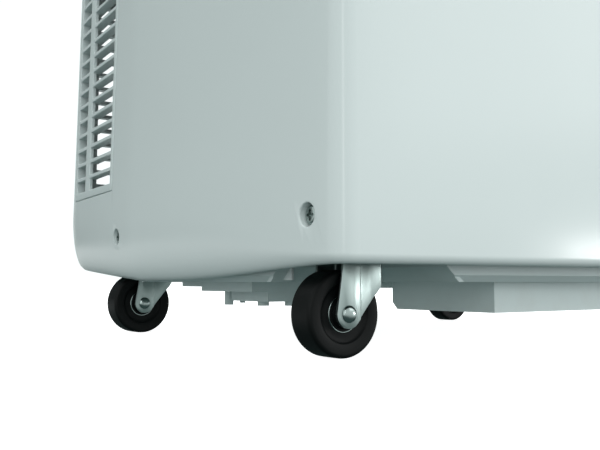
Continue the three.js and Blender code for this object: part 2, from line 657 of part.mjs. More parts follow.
function casterFork() {
  const axleX = -CASTER_TRAIL;
  const axleZ = WHEEL_DIAMETER / 2;
  const EAR_RADIUS = 8.25;
  const ARC_STEPS = 7;
  const ARC_SWEEP = THREE.MathUtils.degToRad(141);
  const CROWN_SHEET = 2.5;
  const CROWN_RADIUS = 17;
  const RIVET_HEIGHT = 2.2;
  const crownFront = 5;
  const crownBack = -25;
  const outline = [[crownFront, FORK_TOP_Z], [crownBack, FORK_TOP_Z], [crownBack - 1, FORK_TOP_Z - 10.9]];
  for (let i = 0; i <= ARC_STEPS; i += 1) {
    const turn = Math.PI + (ARC_SWEEP * i) / ARC_STEPS;
    outline.push([axleX + EAR_RADIUS * Math.cos(turn), axleZ + EAR_RADIUS * Math.sin(turn)]);
  }
  outline.push([axleX + 18, axleZ + 8.6], [axleX + 24, axleZ + 18.4], [crownFront, axleZ + 21]);
  const outside = FORK_INSIDE / 2 + FORK_SHEET;
  const crownZ = FORK_TOP_Z - CROWN_SHEET;
  let solid = prismAlongY(outline, -outside, -FORK_INSIDE / 2);
  solid = solid.add(prismAlongY(outline, FORK_INSIDE / 2, outside));
  solid = solid.add(box(crownBack, 12, -outside, outside, crownZ, FORK_TOP_Z));
  solid = solid.add(rod('z', [0, 0, crownZ], CROWN_SHEET, CROWN_RADIUS));
  solid = solid.add(rod('y', [axleX, -outside, axleZ], 2 * outside, AXLE_RADIUS, AXLE_RADIUS, 12));
  for (const side of [-1, 1]) {
    const base = side < 0 ? -outside - RIVET_HEIGHT : outside;
    const [from, to] = side < 0 ? [3, 5] : [5, 3];
    solid = solid.add(rod('y', [axleX, base, axleZ], RIVET_HEIGHT, from, to, 12));
  }
  return solid;
}

function casterWheel() {
  const r = WHEEL_DIAMETER / 2;
  const half = WHEEL_WIDTH / 2;
  const bore = AXLE_RADIUS + AXLE_CLEARANCE;
  const boss = 9;
  const bossEnd = half + 1.2;
  const dish = half - 2.5;
  const shoulder = half - 1.3;        // where the flat tread ends
  const chamfer = 1.5;
  const rim = r - 6;
  const wheel = turned([
    [bore, -bossEnd], [boss, -bossEnd], [boss, -dish], [rim, -half], [r - chamfer, -half],
    [r, -shoulder], [r, shoulder], [r - chamfer, half],
    [rim, half], [boss, dish], [boss, bossEnd], [bore, bossEnd],
  ], 18);
  return wheel.rotate([90, 0, 0]);
}

// ---- Refrigeration ----

const COMPRESSOR = { x: -108, y: -52, radius: 56, z0: 80, z1: 306 };
const FOOT_BASE_Z = 58;
const FOOT_CIRCLE = 70;
const COMPRESSOR_FEET = [90, 210, 330].map((degrees) => {
  const turn = THREE.MathUtils.degToRad(degrees);
  return [COMPRESSOR.x + FOOT_CIRCLE * Math.cos(turn), COMPRESSOR.y + FOOT_CIRCLE * Math.sin(turn)];
});
const ACCUMULATOR = { x: -108, y: -144, radius: 24, z0: 150, z1: 290 };

function compressor() {
  const { x, y, radius, z0, z1 } = COMPRESSOR;
  const can = turned([
    [0, z0 - 2], [radius - 12, z0 - 2], [radius - 3, z0 + 5], [radius, z0 + 18],
    [radius, z1 - 20], [radius - 10, z1 - 6], [radius - 30, z1], [0, z1],
  ], 18).translate([x, y, 0]);
  const feet = COMPRESSOR_FEET.map(([fx, fy]) => {
    const pad = rod('z', [fx, fy, z0 - 4], 3, 13, 13, 12);
    const arm = box(-9, 9, 0, FOOT_CIRCLE - 6, z0 - 4, z0 - 1);
    const turn = THREE.MathUtils.radToDeg(Math.atan2(fy - y, fx - x)) - 90;
    return pad.add(arm.rotate([0, 0, turn]).translate([x, y, 0]));
  });
  const a = ACCUMULATOR;
  const tank = turned([
    [0, a.z0], [a.radius - 8, a.z0 + 3], [a.radius, a.z0 + 14],
    [a.radius, a.z1 - 14], [a.radius - 8, a.z1 - 3], [0, a.z1],
  ], 12).translate([a.x, a.y, 0]);
  const strap = box(x - 10, x + 10, a.y, y, 214, 232);
  const bend = [
    [a.x, a.y, a.z0 + 4], [a.x, a.y + 8, a.z0 - 22], [a.x, a.y + 34, a.z0 - 24], [x, y, a.z0 - 20],
  ];
  const hasp = pipe(bend, 5);
  return union([can, ...feet, tank, strap, hasp]);
}

function compressorFoot() {
  const top = COMPRESSOR.z0 - 4 - TOUCH;
  const low = FOOT_BASE_Z + TOUCH;
  const height = top - low;
  return turned([[0, 0], [11, 0], [8, height / 2], [11, height], [0, height]], 12);
}

const CONDENSER = { x0: -176, x1: 196, y0: 164, y1: 196, z0: CASTER_TOP_Z + PAN_WALL + 2 * TOUCH, z1: 316 };
const EVAPORATOR = { x0: -160, x1: 160, y0: 158, y1: 186, z0: 492, z1: 716 };

// A finned coil: the fin block between two end plates, with return bends outside one plate.
function coil(block, bends) {
  const PLATE = 2;
  const { x0, x1, y0, y1, z0, z1 } = block;
  const solids = [box(x0 + 10, x1 - 10, y0 + 2, y1 - 2, z0 + 2, z1 - 2)];
  solids.push(box(x0 + 9, x0 + 9 + PLATE, y0, y1, z0, z1));
  solids.push(box(x1 - 9 - PLATE, x1 - 9, y0, y1, z0, z1));
  const pitch = (z1 - z0) / bends;
  for (let i = 0; i < bends; i += 1) {
    const z = z0 + pitch * (i + 0.5);
    const y = (y0 + y1) / 2;
    const reach = pitch / 4;
    const [near, far] = [x0 + 12, x0 + 4];
    const bend = [[near, y, z - reach], [far, y, z - reach], [far, y, z + reach], [near, y, z + reach]];
    solids.push(pipe(bend, 3, 1));
  }
  return union(solids);
}

const CASING_SHEET = 2.5;
const CASING_SIDE = 5;              // between a blower's ends and its casing

// A spiral casing across the unit. The duct is an outline that carries the air up from it.
function scroll(blower, duct, shaftHole) {
  const CLEAR = 8;
  const GROWTH = 14;
  const STEPS = 22;
  const sheetWall = CASING_SHEET;
  const { x = 0, y, z, radius, width } = blower;
  const y0 = y - width / 2 - CASING_SIDE;
  const y1 = y + width / 2 + CASING_SIDE;
  const spiral = (grow) => {
    const points = [];
    for (let i = 0; i <= STEPS; i += 1) {
      const share = i / STEPS;
      const turn = -share * Math.PI * 1.5;
      const r = radius + CLEAR + share * GROWTH + grow;
      points.push([x + r * Math.cos(turn), z + r * Math.sin(turn)]);
    }
    return points.reverse();
  };
  const outer = prismAlongY(spiral(sheetWall), y0 - sheetWall, y1 + sheetWall);
  const outside = outer.add(prismAlongY(duct(sheetWall), y0 - sheetWall, y1 + sheetWall));
  const inside = prismAlongY(spiral(0), y0, y1).add(prismAlongY(duct(0), y0, y1));
  const eye = radius - 14;
  const inlet = rod('y', [x, y1 - 1, z], sheetWall + 2, eye, eye, 20);
  const solid = outside.subtract(inside).subtract(inlet);
  return shaftHole ? solid.subtract(rod('y', [x, y0 - sheetWall - 1, z], sheetWall + 2, 7, 7, 12)) : solid;
}

const EVAP_OUTLET_HALF = 150;

function evaporatorHousing() {
  const { z } = EVAP_BLOWER;
  const top = OUTLET_THROAT.z - TOUCH;
  const duct = (grow) => {
    const end = grow > 0 ? top : top + 1;
    const [low, high] = [98 + grow, EVAP_OUTLET_HALF + grow];
    return [[-low, z], [-high, z + 96], [-high, end], [high, end], [high, z + 96], [low, z]].reverse();
  };
  return scroll(EVAP_BLOWER, duct, false);
}

const PLENUM = { x0: -4, x1: 188, z0: 326, z1: 467, y1: 206 };

function condenserHousing() {
  const { x, y, z, width } = COND_BLOWER;
  const [low, high] = [x - 60, x + 100];
  const duct = (grow) => {
    const end = PLENUM.z0 + (grow > 0 ? 4 : 8);
    return [[low - grow, z], [low - grow, end], [high + grow, end], [high + grow, z]].reverse();
  };
  const casing = scroll(COND_BLOWER, duct, true);
  const y0 = y - width / 2 - CASING_SIDE;
  const p = PLENUM;
  const plenum = (g) => box(p.x0 - g, p.x1 + g, y0 - g, p.y1 + g, p.z0 - g, p.z1 + g);
  let solid = casing.add(plenum(CASING_SHEET)).subtract(plenum(0));
  const y1 = y + width / 2 + CASING_SIDE;
  solid = solid.subtract(box(low, high, y0, y1, p.z0 - 10, p.z0 + 1));
  const mouth = EXHAUST.bore - 4;
  return solid.subtract(rod('y', [EXHAUST.x, p.y1 - 1, EXHAUST.z], CASING_SHEET + 2, mouth, mouth, 24));
}

// A squirrel-cage impeller about +Y, centred on its own axis: hub plate, blades and end ring.
function blower({ radius, width }) {
  const BLADE = 2.2;
  const HUB_BORE = 4.4;
  const half = width / 2;
  const ring = turned([[radius - 12, half - 4], [radius, half - 4], [radius, half], [radius - 12, half]], 18);
  const plate = turned([
    [HUB_BORE, -half], [radius, -half], [radius, -half + 3],
    [14, -half + 3], [12, -half + 24], [HUB_BORE, -half + 24],
  ], 18);
  const blades = [];
  for (let i = 0; i < BLOWER_BLADES; i += 1) {
    const blade = box(radius - 11, radius - 1.5, -BLADE / 2, BLADE / 2, -half + 1, half - 1);
    blades.push(blade.rotate([0, 0, (360 * i) / BLOWER_BLADES]));
  }
  return union([ring, plate, ...blades]).rotate([-90, 0, 0]);
}

// A fan motor on its blower's axis: can, shaft, ring and three arms that reach to the casing.
// Built with +Z from the blower to the motor; canStart is where the can begins.
function fanMotor({ radius, width }, canRadius, canLength, canStart, shaftStart) {
  const face = width / 2 + CASING_SIDE + CASING_SHEET + TOUCH;
  const canEnd = canStart + canLength;
  const can = turned([
    [0, canStart], [canRadius - 6, canStart], [canRadius, canStart + 6],
    [canRadius, canEnd - 6], [canRadius - 6, canEnd], [0, canEnd],
  ], 16);
  const shaft = rod('z', [0, 0, shaftStart], canStart + 2 - shaftStart, AXLE_RADIUS, AXLE_RADIUS, 12);
  const arms = [90, 210, 330].map((degrees) => {
    return box(canRadius - 8, radius + 2, -6, 6, face, face + 4).rotate([0, 0, degrees]);
  });
  const inner = canRadius - 8;
  const outer = canRadius + 3;
  const ring = turned([[inner, face], [outer, face], [outer, face + 12], [inner, face + 12]], 16);
  return union([can, shaft, ring, ...arms]);
}

const SUCTION_DROP = [-182, 120];
const PARTITION_RIM = 14;

function midPartition() {
  const inset = taperInset(PARTITION_Z) + WALL + 4;
  const tray = loft([planRing(inset, PARTITION_Z), planRing(inset, PARTITION_Z + PARTITION_RIM)]);
  const inner = inset + WALL;
  const hollow = loft([planRing(inner, PARTITION_Z + WALL), planRing(inner, PARTITION_Z + PARTITION_RIM + 1)]);
  const [x, y] = SUCTION_DROP;
  return tray.subtract(hollow).subtract(rod('z', [x, y, PARTITION_Z - 1], 20, 9, 9, 16));
}

function suctionPipe() {
  const e = EVAPORATOR;
  const [x, y] = SUCTION_DROP;
  const a = ACCUMULATOR;
  return pipe([
    [e.x0 + 8 - TOUCH, e.y0 + 5, 520], [e.x0 - 8, e.y0 + 3, 518], [x, y, 500], [x, y, 400],
    [x + 2, y - 30, 352], [-150, -60, 340], [a.x, a.y, 330], [a.x, a.y, a.z1 + TOUCH],
  ], 4.5);
}

function dischargePipe() {
  const c = COMPRESSOR;
  const k = CONDENSER;
  return pipe([
    [c.x + 14, c.y, c.z1 + TOUCH], [c.x + 14, c.y, 330], [c.x + 10, c.y + 60, 338], [-150, 90, 320],
    [k.x0 - 14, k.y0 - 10, 296], [k.x0 - 12, k.y0 + 6, 286], [k.x0 + 9 - TOUCH, k.y0 + 6, 284],
  ], 3.5);
}

// ---- Small fittings ----

// The ring that a hose pushes onto; built with its depth along +Z, then turned to face back.
function exhaustCollar() {
  const { x, z, bore, wall } = EXHAUST;
  const depth = BODY_DEPTH / 2 - PLENUM.y1 - CASING_SHEET - TOUCH;
  const flangeEnd = COLLAR_STANDOFF + taperInset(z) - 2;
  const out = bore + wall;
  const tube = turned([[bore, 0], [out - 1.5, 0], [out, 1.5], [out, depth], [bore, depth]], 20);
  const flange = turned([
    [bore + 1, flangeEnd - 3], [out + 7, flangeEnd - 3], [out + 8, flangeEnd - 2],
    [out + 8, flangeEnd], [bore + 1, flangeEnd],
  ], 20);
  return tube.add(flange).rotate([90, 0, 0]).translate([x, BODY_DEPTH / 2, z]);
}

function drainSpout() {
  const { x, z, radius } = DRAIN;
  const inner = PAN_REAR_Y - PAN_WALL - 3;
  const tube = rod('y', [x, inner, z], REAR_Y - 1 - inner, radius, radius, 16);
  const collar = rod('y', [x, PAN_REAR_Y + TOUCH, z], 4, radius + 4, radius + 4, 16);
  return tube.add(collar).subtract(rod('y', [x, inner - 1, z], 60, radius - 3, radius - 3, 16));
}

// The drain plug: a stopper in the spout with a round pull on the outside.
function drainCap() {
  const { x, z, radius } = DRAIN;
  const plug = rod('y', [x, REAR_Y - 14, z], 15, radius - 3.5, radius - 3.5, 16);
  const head = rod('y', [x, REAR_Y + TOUCH, z], 5, radius + 3, radius + 1, 20);
  return plug.add(head);
}

function powerInlet() {
  const { x, z, radius } = INLET;
  const body = rod('y', [x, REAR_Y - 14, z], 15, radius, radius, 16);
  const flange = rod('y', [x, REAR_Y + TOUCH, z], 3, radius + 3, radius + 2, 16);
  return body.add(flange).subtract(rod('y', [x, REAR_Y - 15, z], 30, 4, 4, 12));
}

function housingScrew(place) {
  const head = sideRod(place, SCREW_RECESS_DEPTH - 3, SCREW_RECESS_DEPTH - TOUCH, SCREW_HEAD_RADIUS, 10);
  const shank = sideRod(place, SCREW_RECESS_DEPTH - 1, PAN_INSET + PAN_WALL + 2, SCREW_SHANK_RADIUS, 6);
  const slotDepth = SCREW_RECESS_DEPTH - 3;
  const face = sideX(place.y, SCREW_Z);
  const slot = (dy, dz) => {
    const [a, b] = [face - slotDepth - 1.2, face - slotDepth + 1];
    const xs = place.side < 0 ? [-b, -a] : [a, b];
    return box(xs[0], xs[1], place.y - dy, place.y + dy, SCREW_Z - dz, SCREW_Z + dz);
  };
  return head.add(shank).subtract(slot(2.6, 0.6).add(slot(0.6, 2.6)));
}

// ---- Discharge flap, vanes and controls ----

const FLAP_GAP = 1;
const FLAP_HINGE = { y: OUTLET.y1 - 4, z: BODY_HEIGHT - FLAP_THICKNESS / 2 };

function dischargeFlap() {
  const x = OUTLET.halfWidth - FLAP_GAP;
  const top = BODY_HEIGHT - TOUCH;
  const plate = box(-x, x, OUTLET.y0 + FLAP_GAP, FLAP_HINGE.y, top - FLAP_THICKNESS + 1, top);
  const barrel = rod('x', [-x, FLAP_HINGE.y, FLAP_HINGE.z], 2 * x, 2.1, 2.1, 12);
  return plate.add(barrel);
}

const VANE_X = [-81, 0, 81];

// A vertical vane in the outlet throat, built around its own upright axis.
function louvreVane() {
  const { y0, y1, z } = OUTLET_THROAT;
  const reach = (y1 - y0) / 2 - 12;
  const foot = z + VANE_BAR + TOUCH;
  const top = FLAP_SEAT_Z - 8;
  const outline = [
    [-1, -reach], [1, -reach], [1.6, -2], [1.6, 2],
    [0.8, reach], [-0.8, reach], [-1.6, 2], [-1.6, -2],
  ];
  return prism(outline, foot + 2, top - 2).add(rod('z', [0, 0, foot], top - foot, 2.5, 2.5, 10));
}

function buttonX(index) {
  return (index - 1.5) * BUTTON_PITCH + 40;
}

function controlPanel() {
  const { halfWidth, y0, y1 } = PANEL;
  const gap = SEAM;
  const top = BODY_HEIGHT - TOUCH;
  let solid = box(-halfWidth + gap, halfWidth - gap, y0 + gap, y1 - gap, top - 4, top);
  for (let i = 0; i < BUTTON_NAMES.length; i += 1) {
    const start = [buttonX(i), PANEL_MIDDLE_Y, top - 5];
    solid = solid.subtract(rod('z', start, 10, BUTTON_RADIUS + BUTTON_CLEARANCE));
  }
  return solid.subtract(displayBox(0, top + 1));
}

const BUTTON_NAMES = ['power', 'mode', 'cooler', 'warmer'];
const PANEL_MIDDLE_Y = (PANEL.y0 + PANEL.y1) / 2;
const DISPLAY = { x0: -92, x1: -28, halfDepth: 16, sunk: 2 };

// The space of the display in the panel, drawn in by a gap, up to a height.
function displayBox(gap, z1) {
  const { x0, x1, halfDepth, sunk } = DISPLAY;
  const [y0, y1] = [PANEL_MIDDLE_Y - halfDepth + gap, PANEL_MIDDLE_Y + halfDepth - gap];
  return box(x0 + gap, x1 - gap, y0, y1, BODY_HEIGHT - TOUCH - sunk + gap, z1);
}

function displayWindow() {
  return displayBox(TOUCH, BODY_HEIGHT - TOUCH);
}

// A button, built around its own axis with the top of the unit at height 0.
function button() {
  const top = 0.9;
  return turned([
    [0, -8], [BUTTON_RADIUS + 2, -8], [BUTTON_RADIUS + 2, -6.4], [BUTTON_RADIUS, -6.4],
    [BUTTON_RADIUS, top - 0.8], [BUTTON_RADIUS - 1, top], [0, top],
  ]);
}

// ---- Electrics ----

const CONTROL_BOX = { x0: 40, x1: 190, y0: -190, y1: -60, z0: 340, z1: 436 };

function controlBox() {
  const { x0, x1, y0, y1, z0, z1 } = CONTROL_BOX;
  const hangers = [y0 + 20, y1 - 32].map((y) => {
    return box(x0 + 20, x1 - 20, y, y + 12, z1 - 1, PARTITION_Z - TOUCH);
  });
  const lid = box(x0 - 2, x1 + 2, y0 - 2, y1 + 2, z0 - 3, z0 + 8);
  return union([box(x0, x1, y0, y1, z0, z1), lid, ...hangers]);
}

function runCapacitor() {
  const { x0, y0, z0 } = CONTROL_BOX;
  const radius = 19;
  const can = turned([
    [0, 0], [radius - 2, 0], [radius, 2], [radius, 78], [radius - 2, 80], [7, 80], [7, 86], [0, 86],
  ], 12);
  return can.translate([x0 - 2 - TOUCH - radius, y0 + 40, z0]);
}

function flapMotor() {
  const x0 = OUTLET_THROAT.x + WALL + TOUCH;
  const motor = rod('x', [x0, FLAP_HINGE.y, FLAP_SEAT_Z - 22], 18, 12, 12, 18);
  return motor.add(box(x0, x0 + 2, FLAP_HINGE.y - 18, FLAP_HINGE.y + 18, FLAP_SEAT_Z - 26, FLAP_SEAT_Z - 18));
}

// ---- Assembly ----

const FINISH = {
  frontShell: [0xd9dfde, 0.25, 0],
  shell: [0xc9d1d0, 0.45, 0],
  pan: [0xbfc7c6, 0.6, 0],
  grille: [0xc4cccb, 0.5, 0],
  cover: [0xd6dcdb, 0.35, 0],
  darkPlastic: [0x2a2d30, 0.4, 0],
  screen: [0x101418, 0.1, 0],
  innerPlastic: [0x8d9496, 0.7, 0],
  zinc: [0xc8cccc, 0.35, 0.9],
  tyre: [0x17191b, 0.55, 0],
  compressor: [0x1c1e20, 0.4, 0.2],
  copper: [0xb4703f, 0.35, 0.9],
  fins: [0xb8bec2, 0.45, 0.8],
  sheetMetal: [0xa9afb2, 0.4, 0.8],
  rubber: [0x222222, 0.9, 0],
  filter: [0x3a3f44, 0.8, 0],
};

const unit = new THREE.Group();

function add(name, solid, finish, place = [0, 0, 0], parent = unit) {
  const [color, roughness, metalness] = FINISH[finish];
  const material = new THREE.MeshStandardMaterial({ color, roughness, metalness });
  const mesh = new THREE.Mesh(toGeometry(solid), material);
  mesh.name = name;
  mesh.position.set(...place);
  parent.add(mesh);
}

function addHousing() {
  add('base_pan', basePan(), 'pan');
  add('front_shell', frontShell(), 'frontShell');
  add('rear_shell', rearShell(), 'shell');
  add('top_cover', topCover(), 'cover');
  add('side_grille_left', sideGrille(-1), 'grille');
  add('side_grille_right', sideGrille(1), 'grille');
  add('rear_grille_lower', rearGrille(REAR_GRILLE_HALF, LOWER_GRILLE_Z, LOWER_GRILLE_ROWS, 4), 'grille');
  add('rear_grille_upper', rearGrille(UPPER_GRILLE_HALF, UPPER_GRILLE_Z, UPPER_GRILLE_ROWS, 3), 'grille');
  add('lower_filter', filter(LOWER_FILTER_HALF, LOWER_GRILLE_Z, LOWER_GRILLE_ROWS, 4), 'filter');
  add('upper_filter', filter(UPPER_FILTER_HALF, UPPER_GRILLE_Z, UPPER_GRILLE_ROWS, 3), 'filter');
  add('handle_cup_left', handleCup(-1), 'grille');
  add('handle_cup_right', handleCup(1), 'grille');
  SCREW_PLACES.forEach((place, i) => add(`housing_screw_${i + 1}`, housingScrew(place), 'zinc'));
}

function addCasters() {
  CASTER_PLACES.forEach(([x, y], i) => {
    const caster = new THREE.Group();
    caster.position.set(x, y, 0);
    add(`caster_plate_${CASTER_NAMES[i]}`, casterPlate(), 'zinc', [0, 0, 0], caster);
    add(`caster_fork_${CASTER_NAMES[i]}`, casterFork(), 'zinc', [0, 0, 0], caster);
    const axle = [-CASTER_TRAIL, 0, WHEEL_DIAMETER / 2];
    add(`caster_wheel_${CASTER_NAMES[i]}`, casterWheel(), 'tyre', axle, caster);
    unit.add(caster);
  });
}

function addRefrigeration() {
  add('compressor', compressor(), 'compressor');
  COMPRESSOR_FEET.forEach(([x, y], i) => {
    add(`compressor_foot_${i + 1}`, compressorFoot(), 'rubber', [x, y, FOOT_BASE_Z + TOUCH]);
  });
  add('condenser_coil', coil(CONDENSER, 7), 'fins');
  add('evaporator_coil', coil(EVAPORATOR, 7), 'fins');
  add('suction_pipe', suctionPipe(), 'copper');
  add('discharge_pipe', dischargePipe(), 'copper');
}

function addAirPath() {
  add('mid_partition', midPartition(), 'innerPlastic');
  add('evaporator_housing', evaporatorHousing(), 'innerPlastic');
  add('condenser_housing', condenserHousing(), 'innerPlastic');
  const evap = [0, EVAP_BLOWER.y, EVAP_BLOWER.z];
  const cond = [COND_BLOWER.x, COND_BLOWER.y, COND_BLOWER.z];
  const hubEnd = EVAP_BLOWER.width / 2 - 2;
  const nested = EVAP_BLOWER.width / 2 + 3;
  const outside = COND_BLOWER.width / 2 + CASING_SIDE + CASING_SHEET + 2;
  const evapMotor = fanMotor(EVAP_BLOWER, 42, 60, nested, -hubEnd).rotate([-90, 0, 0]);
  const condMotor = fanMotor(COND_BLOWER, 44, 50, outside, 5).rotate([90, 0, 0]);
  add('evaporator_motor', evapMotor, 'sheetMetal', evap);
  add('condenser_motor', condMotor, 'sheetMetal', cond);
  add('evaporator_blower', blower(EVAP_BLOWER), 'darkPlastic', evap);
  add('condenser_blower', blower(COND_BLOWER), 'darkPlastic', cond);
  add('exhaust_collar', exhaustCollar(), 'grille');
  add('discharge_flap', dischargeFlap(), 'cover');
  VANE_X.forEach((x, i) => add(`louvre_vane_${i + 1}`, louvreVane(), 'grille', [x, VANE_Y, 0]));
}

function addFittings() {
  add('drain_spout', drainSpout(), 'grille');
  add('drain_cap', drainCap(), 'rubber');
  add('power_inlet', powerInlet(), 'darkPlastic');
  add('control_box', controlBox(), 'sheetMetal');
  add('run_capacitor', runCapacitor(), 'sheetMetal');
  add('flap_motor', flapMotor(), 'sheetMetal');
  add('control_panel', controlPanel(), 'darkPlastic');
  add('display_window', displayWindow(), 'screen');
  BUTTON_NAMES.forEach((name, i) => {
    add(`button_${name}`, button(), 'shell', [buttonX(i), PANEL_MIDDLE_Y, BODY_HEIGHT]);
  });
}

addHousing();
addCasters();
addRefrigeration();
addAirPath();
addFittings();

export default unit;
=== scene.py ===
"""Finished pieces of a portable air conditioner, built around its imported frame.

Shapes are worked out in millimetres in the frame's own axes (front -Y, up +Z) and turned
into metres when a piece is made.
"""

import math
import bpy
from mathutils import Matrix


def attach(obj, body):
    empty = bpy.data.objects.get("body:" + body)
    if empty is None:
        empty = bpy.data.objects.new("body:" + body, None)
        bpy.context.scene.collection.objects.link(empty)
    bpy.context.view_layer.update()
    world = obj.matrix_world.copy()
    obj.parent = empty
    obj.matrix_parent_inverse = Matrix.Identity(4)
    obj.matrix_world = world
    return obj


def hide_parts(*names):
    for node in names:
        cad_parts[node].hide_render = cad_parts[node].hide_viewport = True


bl_info = {
    "name": "Portable Air Conditioner",
    "version": (1, 0, 0),
    "blender": (4, 5, 0),
    "location": "3D View > Sidebar > Cooler",
    "description": "Builds the housing, casters, grilles, controls and studio of a portable air conditioner",
    "category": "Object",
}

from collections import namedtuple

import bmesh
import bpy
from mathutils import Matrix, Vector

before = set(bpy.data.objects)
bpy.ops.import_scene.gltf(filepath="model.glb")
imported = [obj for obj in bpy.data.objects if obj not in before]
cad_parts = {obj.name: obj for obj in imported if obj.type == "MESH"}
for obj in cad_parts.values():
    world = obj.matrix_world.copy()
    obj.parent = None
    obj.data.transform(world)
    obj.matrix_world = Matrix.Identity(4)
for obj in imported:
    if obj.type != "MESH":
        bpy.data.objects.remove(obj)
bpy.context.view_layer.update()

MM = 0.001
TAU = 2 * math.pi

# ---- Sizes of the housing, in millimetres ----

HALF_WIDTH = 245.0
BODY_DEPTH = 450.0
BODY_HEIGHT = 792.0
FRONT_Y = -225.0
REAR_Y = 219.0
CORNER_X = 237.0
CORNER_Y = -211.0
FRONT_CROWN = 14.0
SIDE_FLARE = 8.0
SOFT_EDGE_Y = 48.0
FRONT_CORNER = 12.0
REAR_CORNER = 28.0
WALL = 3.0
SEAM = 0.5
SPLIT_SHARE = 0.15
TAPER = math.tan(math.radians(1))
TAPER_START_Z = 91.7
SHELL_TOP_Z = 736.0
LIP_FRONT_Z = 52.5
LIP_LOW_Z = 43.7
ROLL_FRONT = (4.5, 5.5)
ROLL_SIDE = (12.0, 48.0)

GRILLE_PITCH = 13.9
SLAT = 2.2
SLAT_NOSE = 0.5
SIDE_CELLS = ((93.0, 150.0), (162.0, 190.0))
MULLION_DEPTH = 3.0
MARGIN = 6.0
GRILLE_DEPTH = 8.0
LOWER_Z, LOWER_ROWS, LOWER_HALF = 119.0, 14, 216.0
UPPER_Z, UPPER_ROWS, UPPER_HALF = 488.0, 16, 180.0
SIDE_GRILLE_Y = 88.0

SCREW_YS = (-183.0, 75.0)
SCREW_Z = 79.5
SCREW_RECESS = 5.5
HANDLE = (-30.0, 90.0, 622.0, 660.0)
HANDLE_DEPTH = 34.0
EXHAUST = (92.0, 401.0)
EXHAUST_BORE = 66.0
DRAIN = (-120.0, 84.0)
INLET = (196.0, 106.0)
OUTLET = (-170.0, 170.0, -182.0, -104.0)
THROAT = (-162.0, 162.0, -174.0, -114.0)
THROAT_Z = 740.0
FLAP_SEAT_Z = 786.0
PANEL = (-105.0, 105.0, -84.0, -26.0)
PANEL_MIDDLE_Y = -55.0
BUTTONS = (("power", -5.0), ("mode", 25.0), ("cooler", 55.0), ("warmer", 85.0))
VANE_X = (-81.0, 0.0, 81.0)

WHEEL_RADIUS = 25.0
TRAIL = 21.7
FORK_TOP_Z = 60.9
CASTERS = {
    "front_left": (-188.5, -172.0),
    "rear_left": (-188.5, 106.0),
    "front_right": (188.5, -172.0),
    "rear_right": (188.5, 106.0),
}


def grille_top(z, rows):
    return z + 2 * MARGIN + rows * GRILLE_PITCH - SLAT


# ---- Settings that a user may change ----


def tint(name, description, colour):
    return bpy.props.FloatVectorProperty(
        name=name, description=description, subtype="COLOR", size=3, min=0, max=1, default=colour
    )


class HousingSettings(bpy.types.PropertyGroup):
    edge_radius: bpy.props.FloatProperty(
        name="Edge radius", description="Rounding of the seams and slots", default=0.0008, unit="LENGTH"
    )
    gloss_colour: tint("Front colour", "Glossy plastic of the front shell", (0.69, 0.755, 0.75))
    satin_colour: tint("Rear colour", "Satin plastic of the rear shell and the top", (0.67, 0.735, 0.73))
    grille_colour: tint("Grille colour", "Plastic of the grilles and handle cups", (0.64, 0.71, 0.705))
    pan_colour: tint("Base colour", "Plastic of the base pan", (0.60, 0.68, 0.675))


class CasterSettings(bpy.types.PropertyGroup):
    sheet: bpy.props.FloatProperty(
        name="Fork sheet", description="Thickness of the fork's sheet metal", default=0.0018, unit="LENGTH"
    )
    metal_colour: tint("Metal colour", "Zinc plating of the forks, plates and screws", (0.42, 0.495, 0.48))
    tread_colour: tint("Wheel colour", "Black plastic of the wheels", (0.002, 0.003, 0.003))


class StudioSettings(bpy.types.PropertyGroup):
    focal_length: bpy.props.FloatProperty(
        name="Focal length", description="Lens of the camera in millimetres", default=46.2, min=10, max=200
    )
    key_power: bpy.props.FloatProperty(
        name="Soft box", description="Power of the large soft box, in watts", default=22.0, min=0
    )
    sky: bpy.props.FloatProperty(
        name="Surround", description="Brightness of the white surround", default=1.08, min=0
    )


# ---- Plan of the housing ----

Station = namedtuple("Station", "x y nx ny")


def quad_curve(p, c, q):
    """A curve from p to q pulled towards c. Gives the point and its outward direction."""

    def at(t):
        x, y = ((1 - t) ** 2 * p[i] + 2 * t * (1 - t) * c[i] + t * t * q[i] for i in (0, 1))
        tx, ty = ((1 - t) * (c[i] - p[i]) + t * (q[i] - c[i]) for i in (0, 1))
        length = math.hypot(tx, ty)
        return Station(x, y, ty / length, -tx / length)

    return at


def bowed(p, q, rise):
    """A curve from p to q that bows out to the right of its direction."""
    dx, dy = q[0] - p[0], q[1] - p[1]
    length = math.hypot(dx, dy)
    middle = ((p[0] + q[0]) / 2 + 2 * rise * dy / length, (p[1] + q[1]) / 2 - 2 * rise * dx / length)
    return quad_curve(p, middle, q)


CROWN_X = CORNER_X - FRONT_CORNER
CROWN_Y = FRONT_Y + FRONT_CROWN * (CROWN_X / CORNER_X) ** 2
SIDE_START = (CORNER_X + SIDE_FLARE * FRONT_CORNER / (SOFT_EDGE_Y - CORNER_Y), CORNER_Y + FRONT_CORNER)
SIDE_END = (CORNER_X + SIDE_FLARE * REAR_CORNER / (REAR_Y - SOFT_EDGE_Y), REAR_Y - REAR_CORNER)
BACK_X = CORNER_X - REAR_CORNER
CURVE_CROWN = bowed((-CROWN_X, CROWN_Y), (CROWN_X, CROWN_Y), CROWN_Y - FRONT_Y)
CURVE_CORNER = quad_curve((CROWN_X, CROWN_Y), (CORNER_X, CORNER_Y), SIDE_START)
CURVE_SIDE = bowed(SIDE_START, (HALF_WIDTH, SOFT_EDGE_Y), 1)
CURVE_REAR_SIDE = bowed((HALF_WIDTH, SOFT_EDGE_Y), SIDE_END, 1)
CURVE_REAR_CORNER = quad_curve(SIDE_END, (CORNER_X, REAR_Y), (BACK_X, REAR_Y))


def along(curve, count, start=0.0, end=1.0):
    return [curve(start + (end - start) * i / count) for i in range(count)]


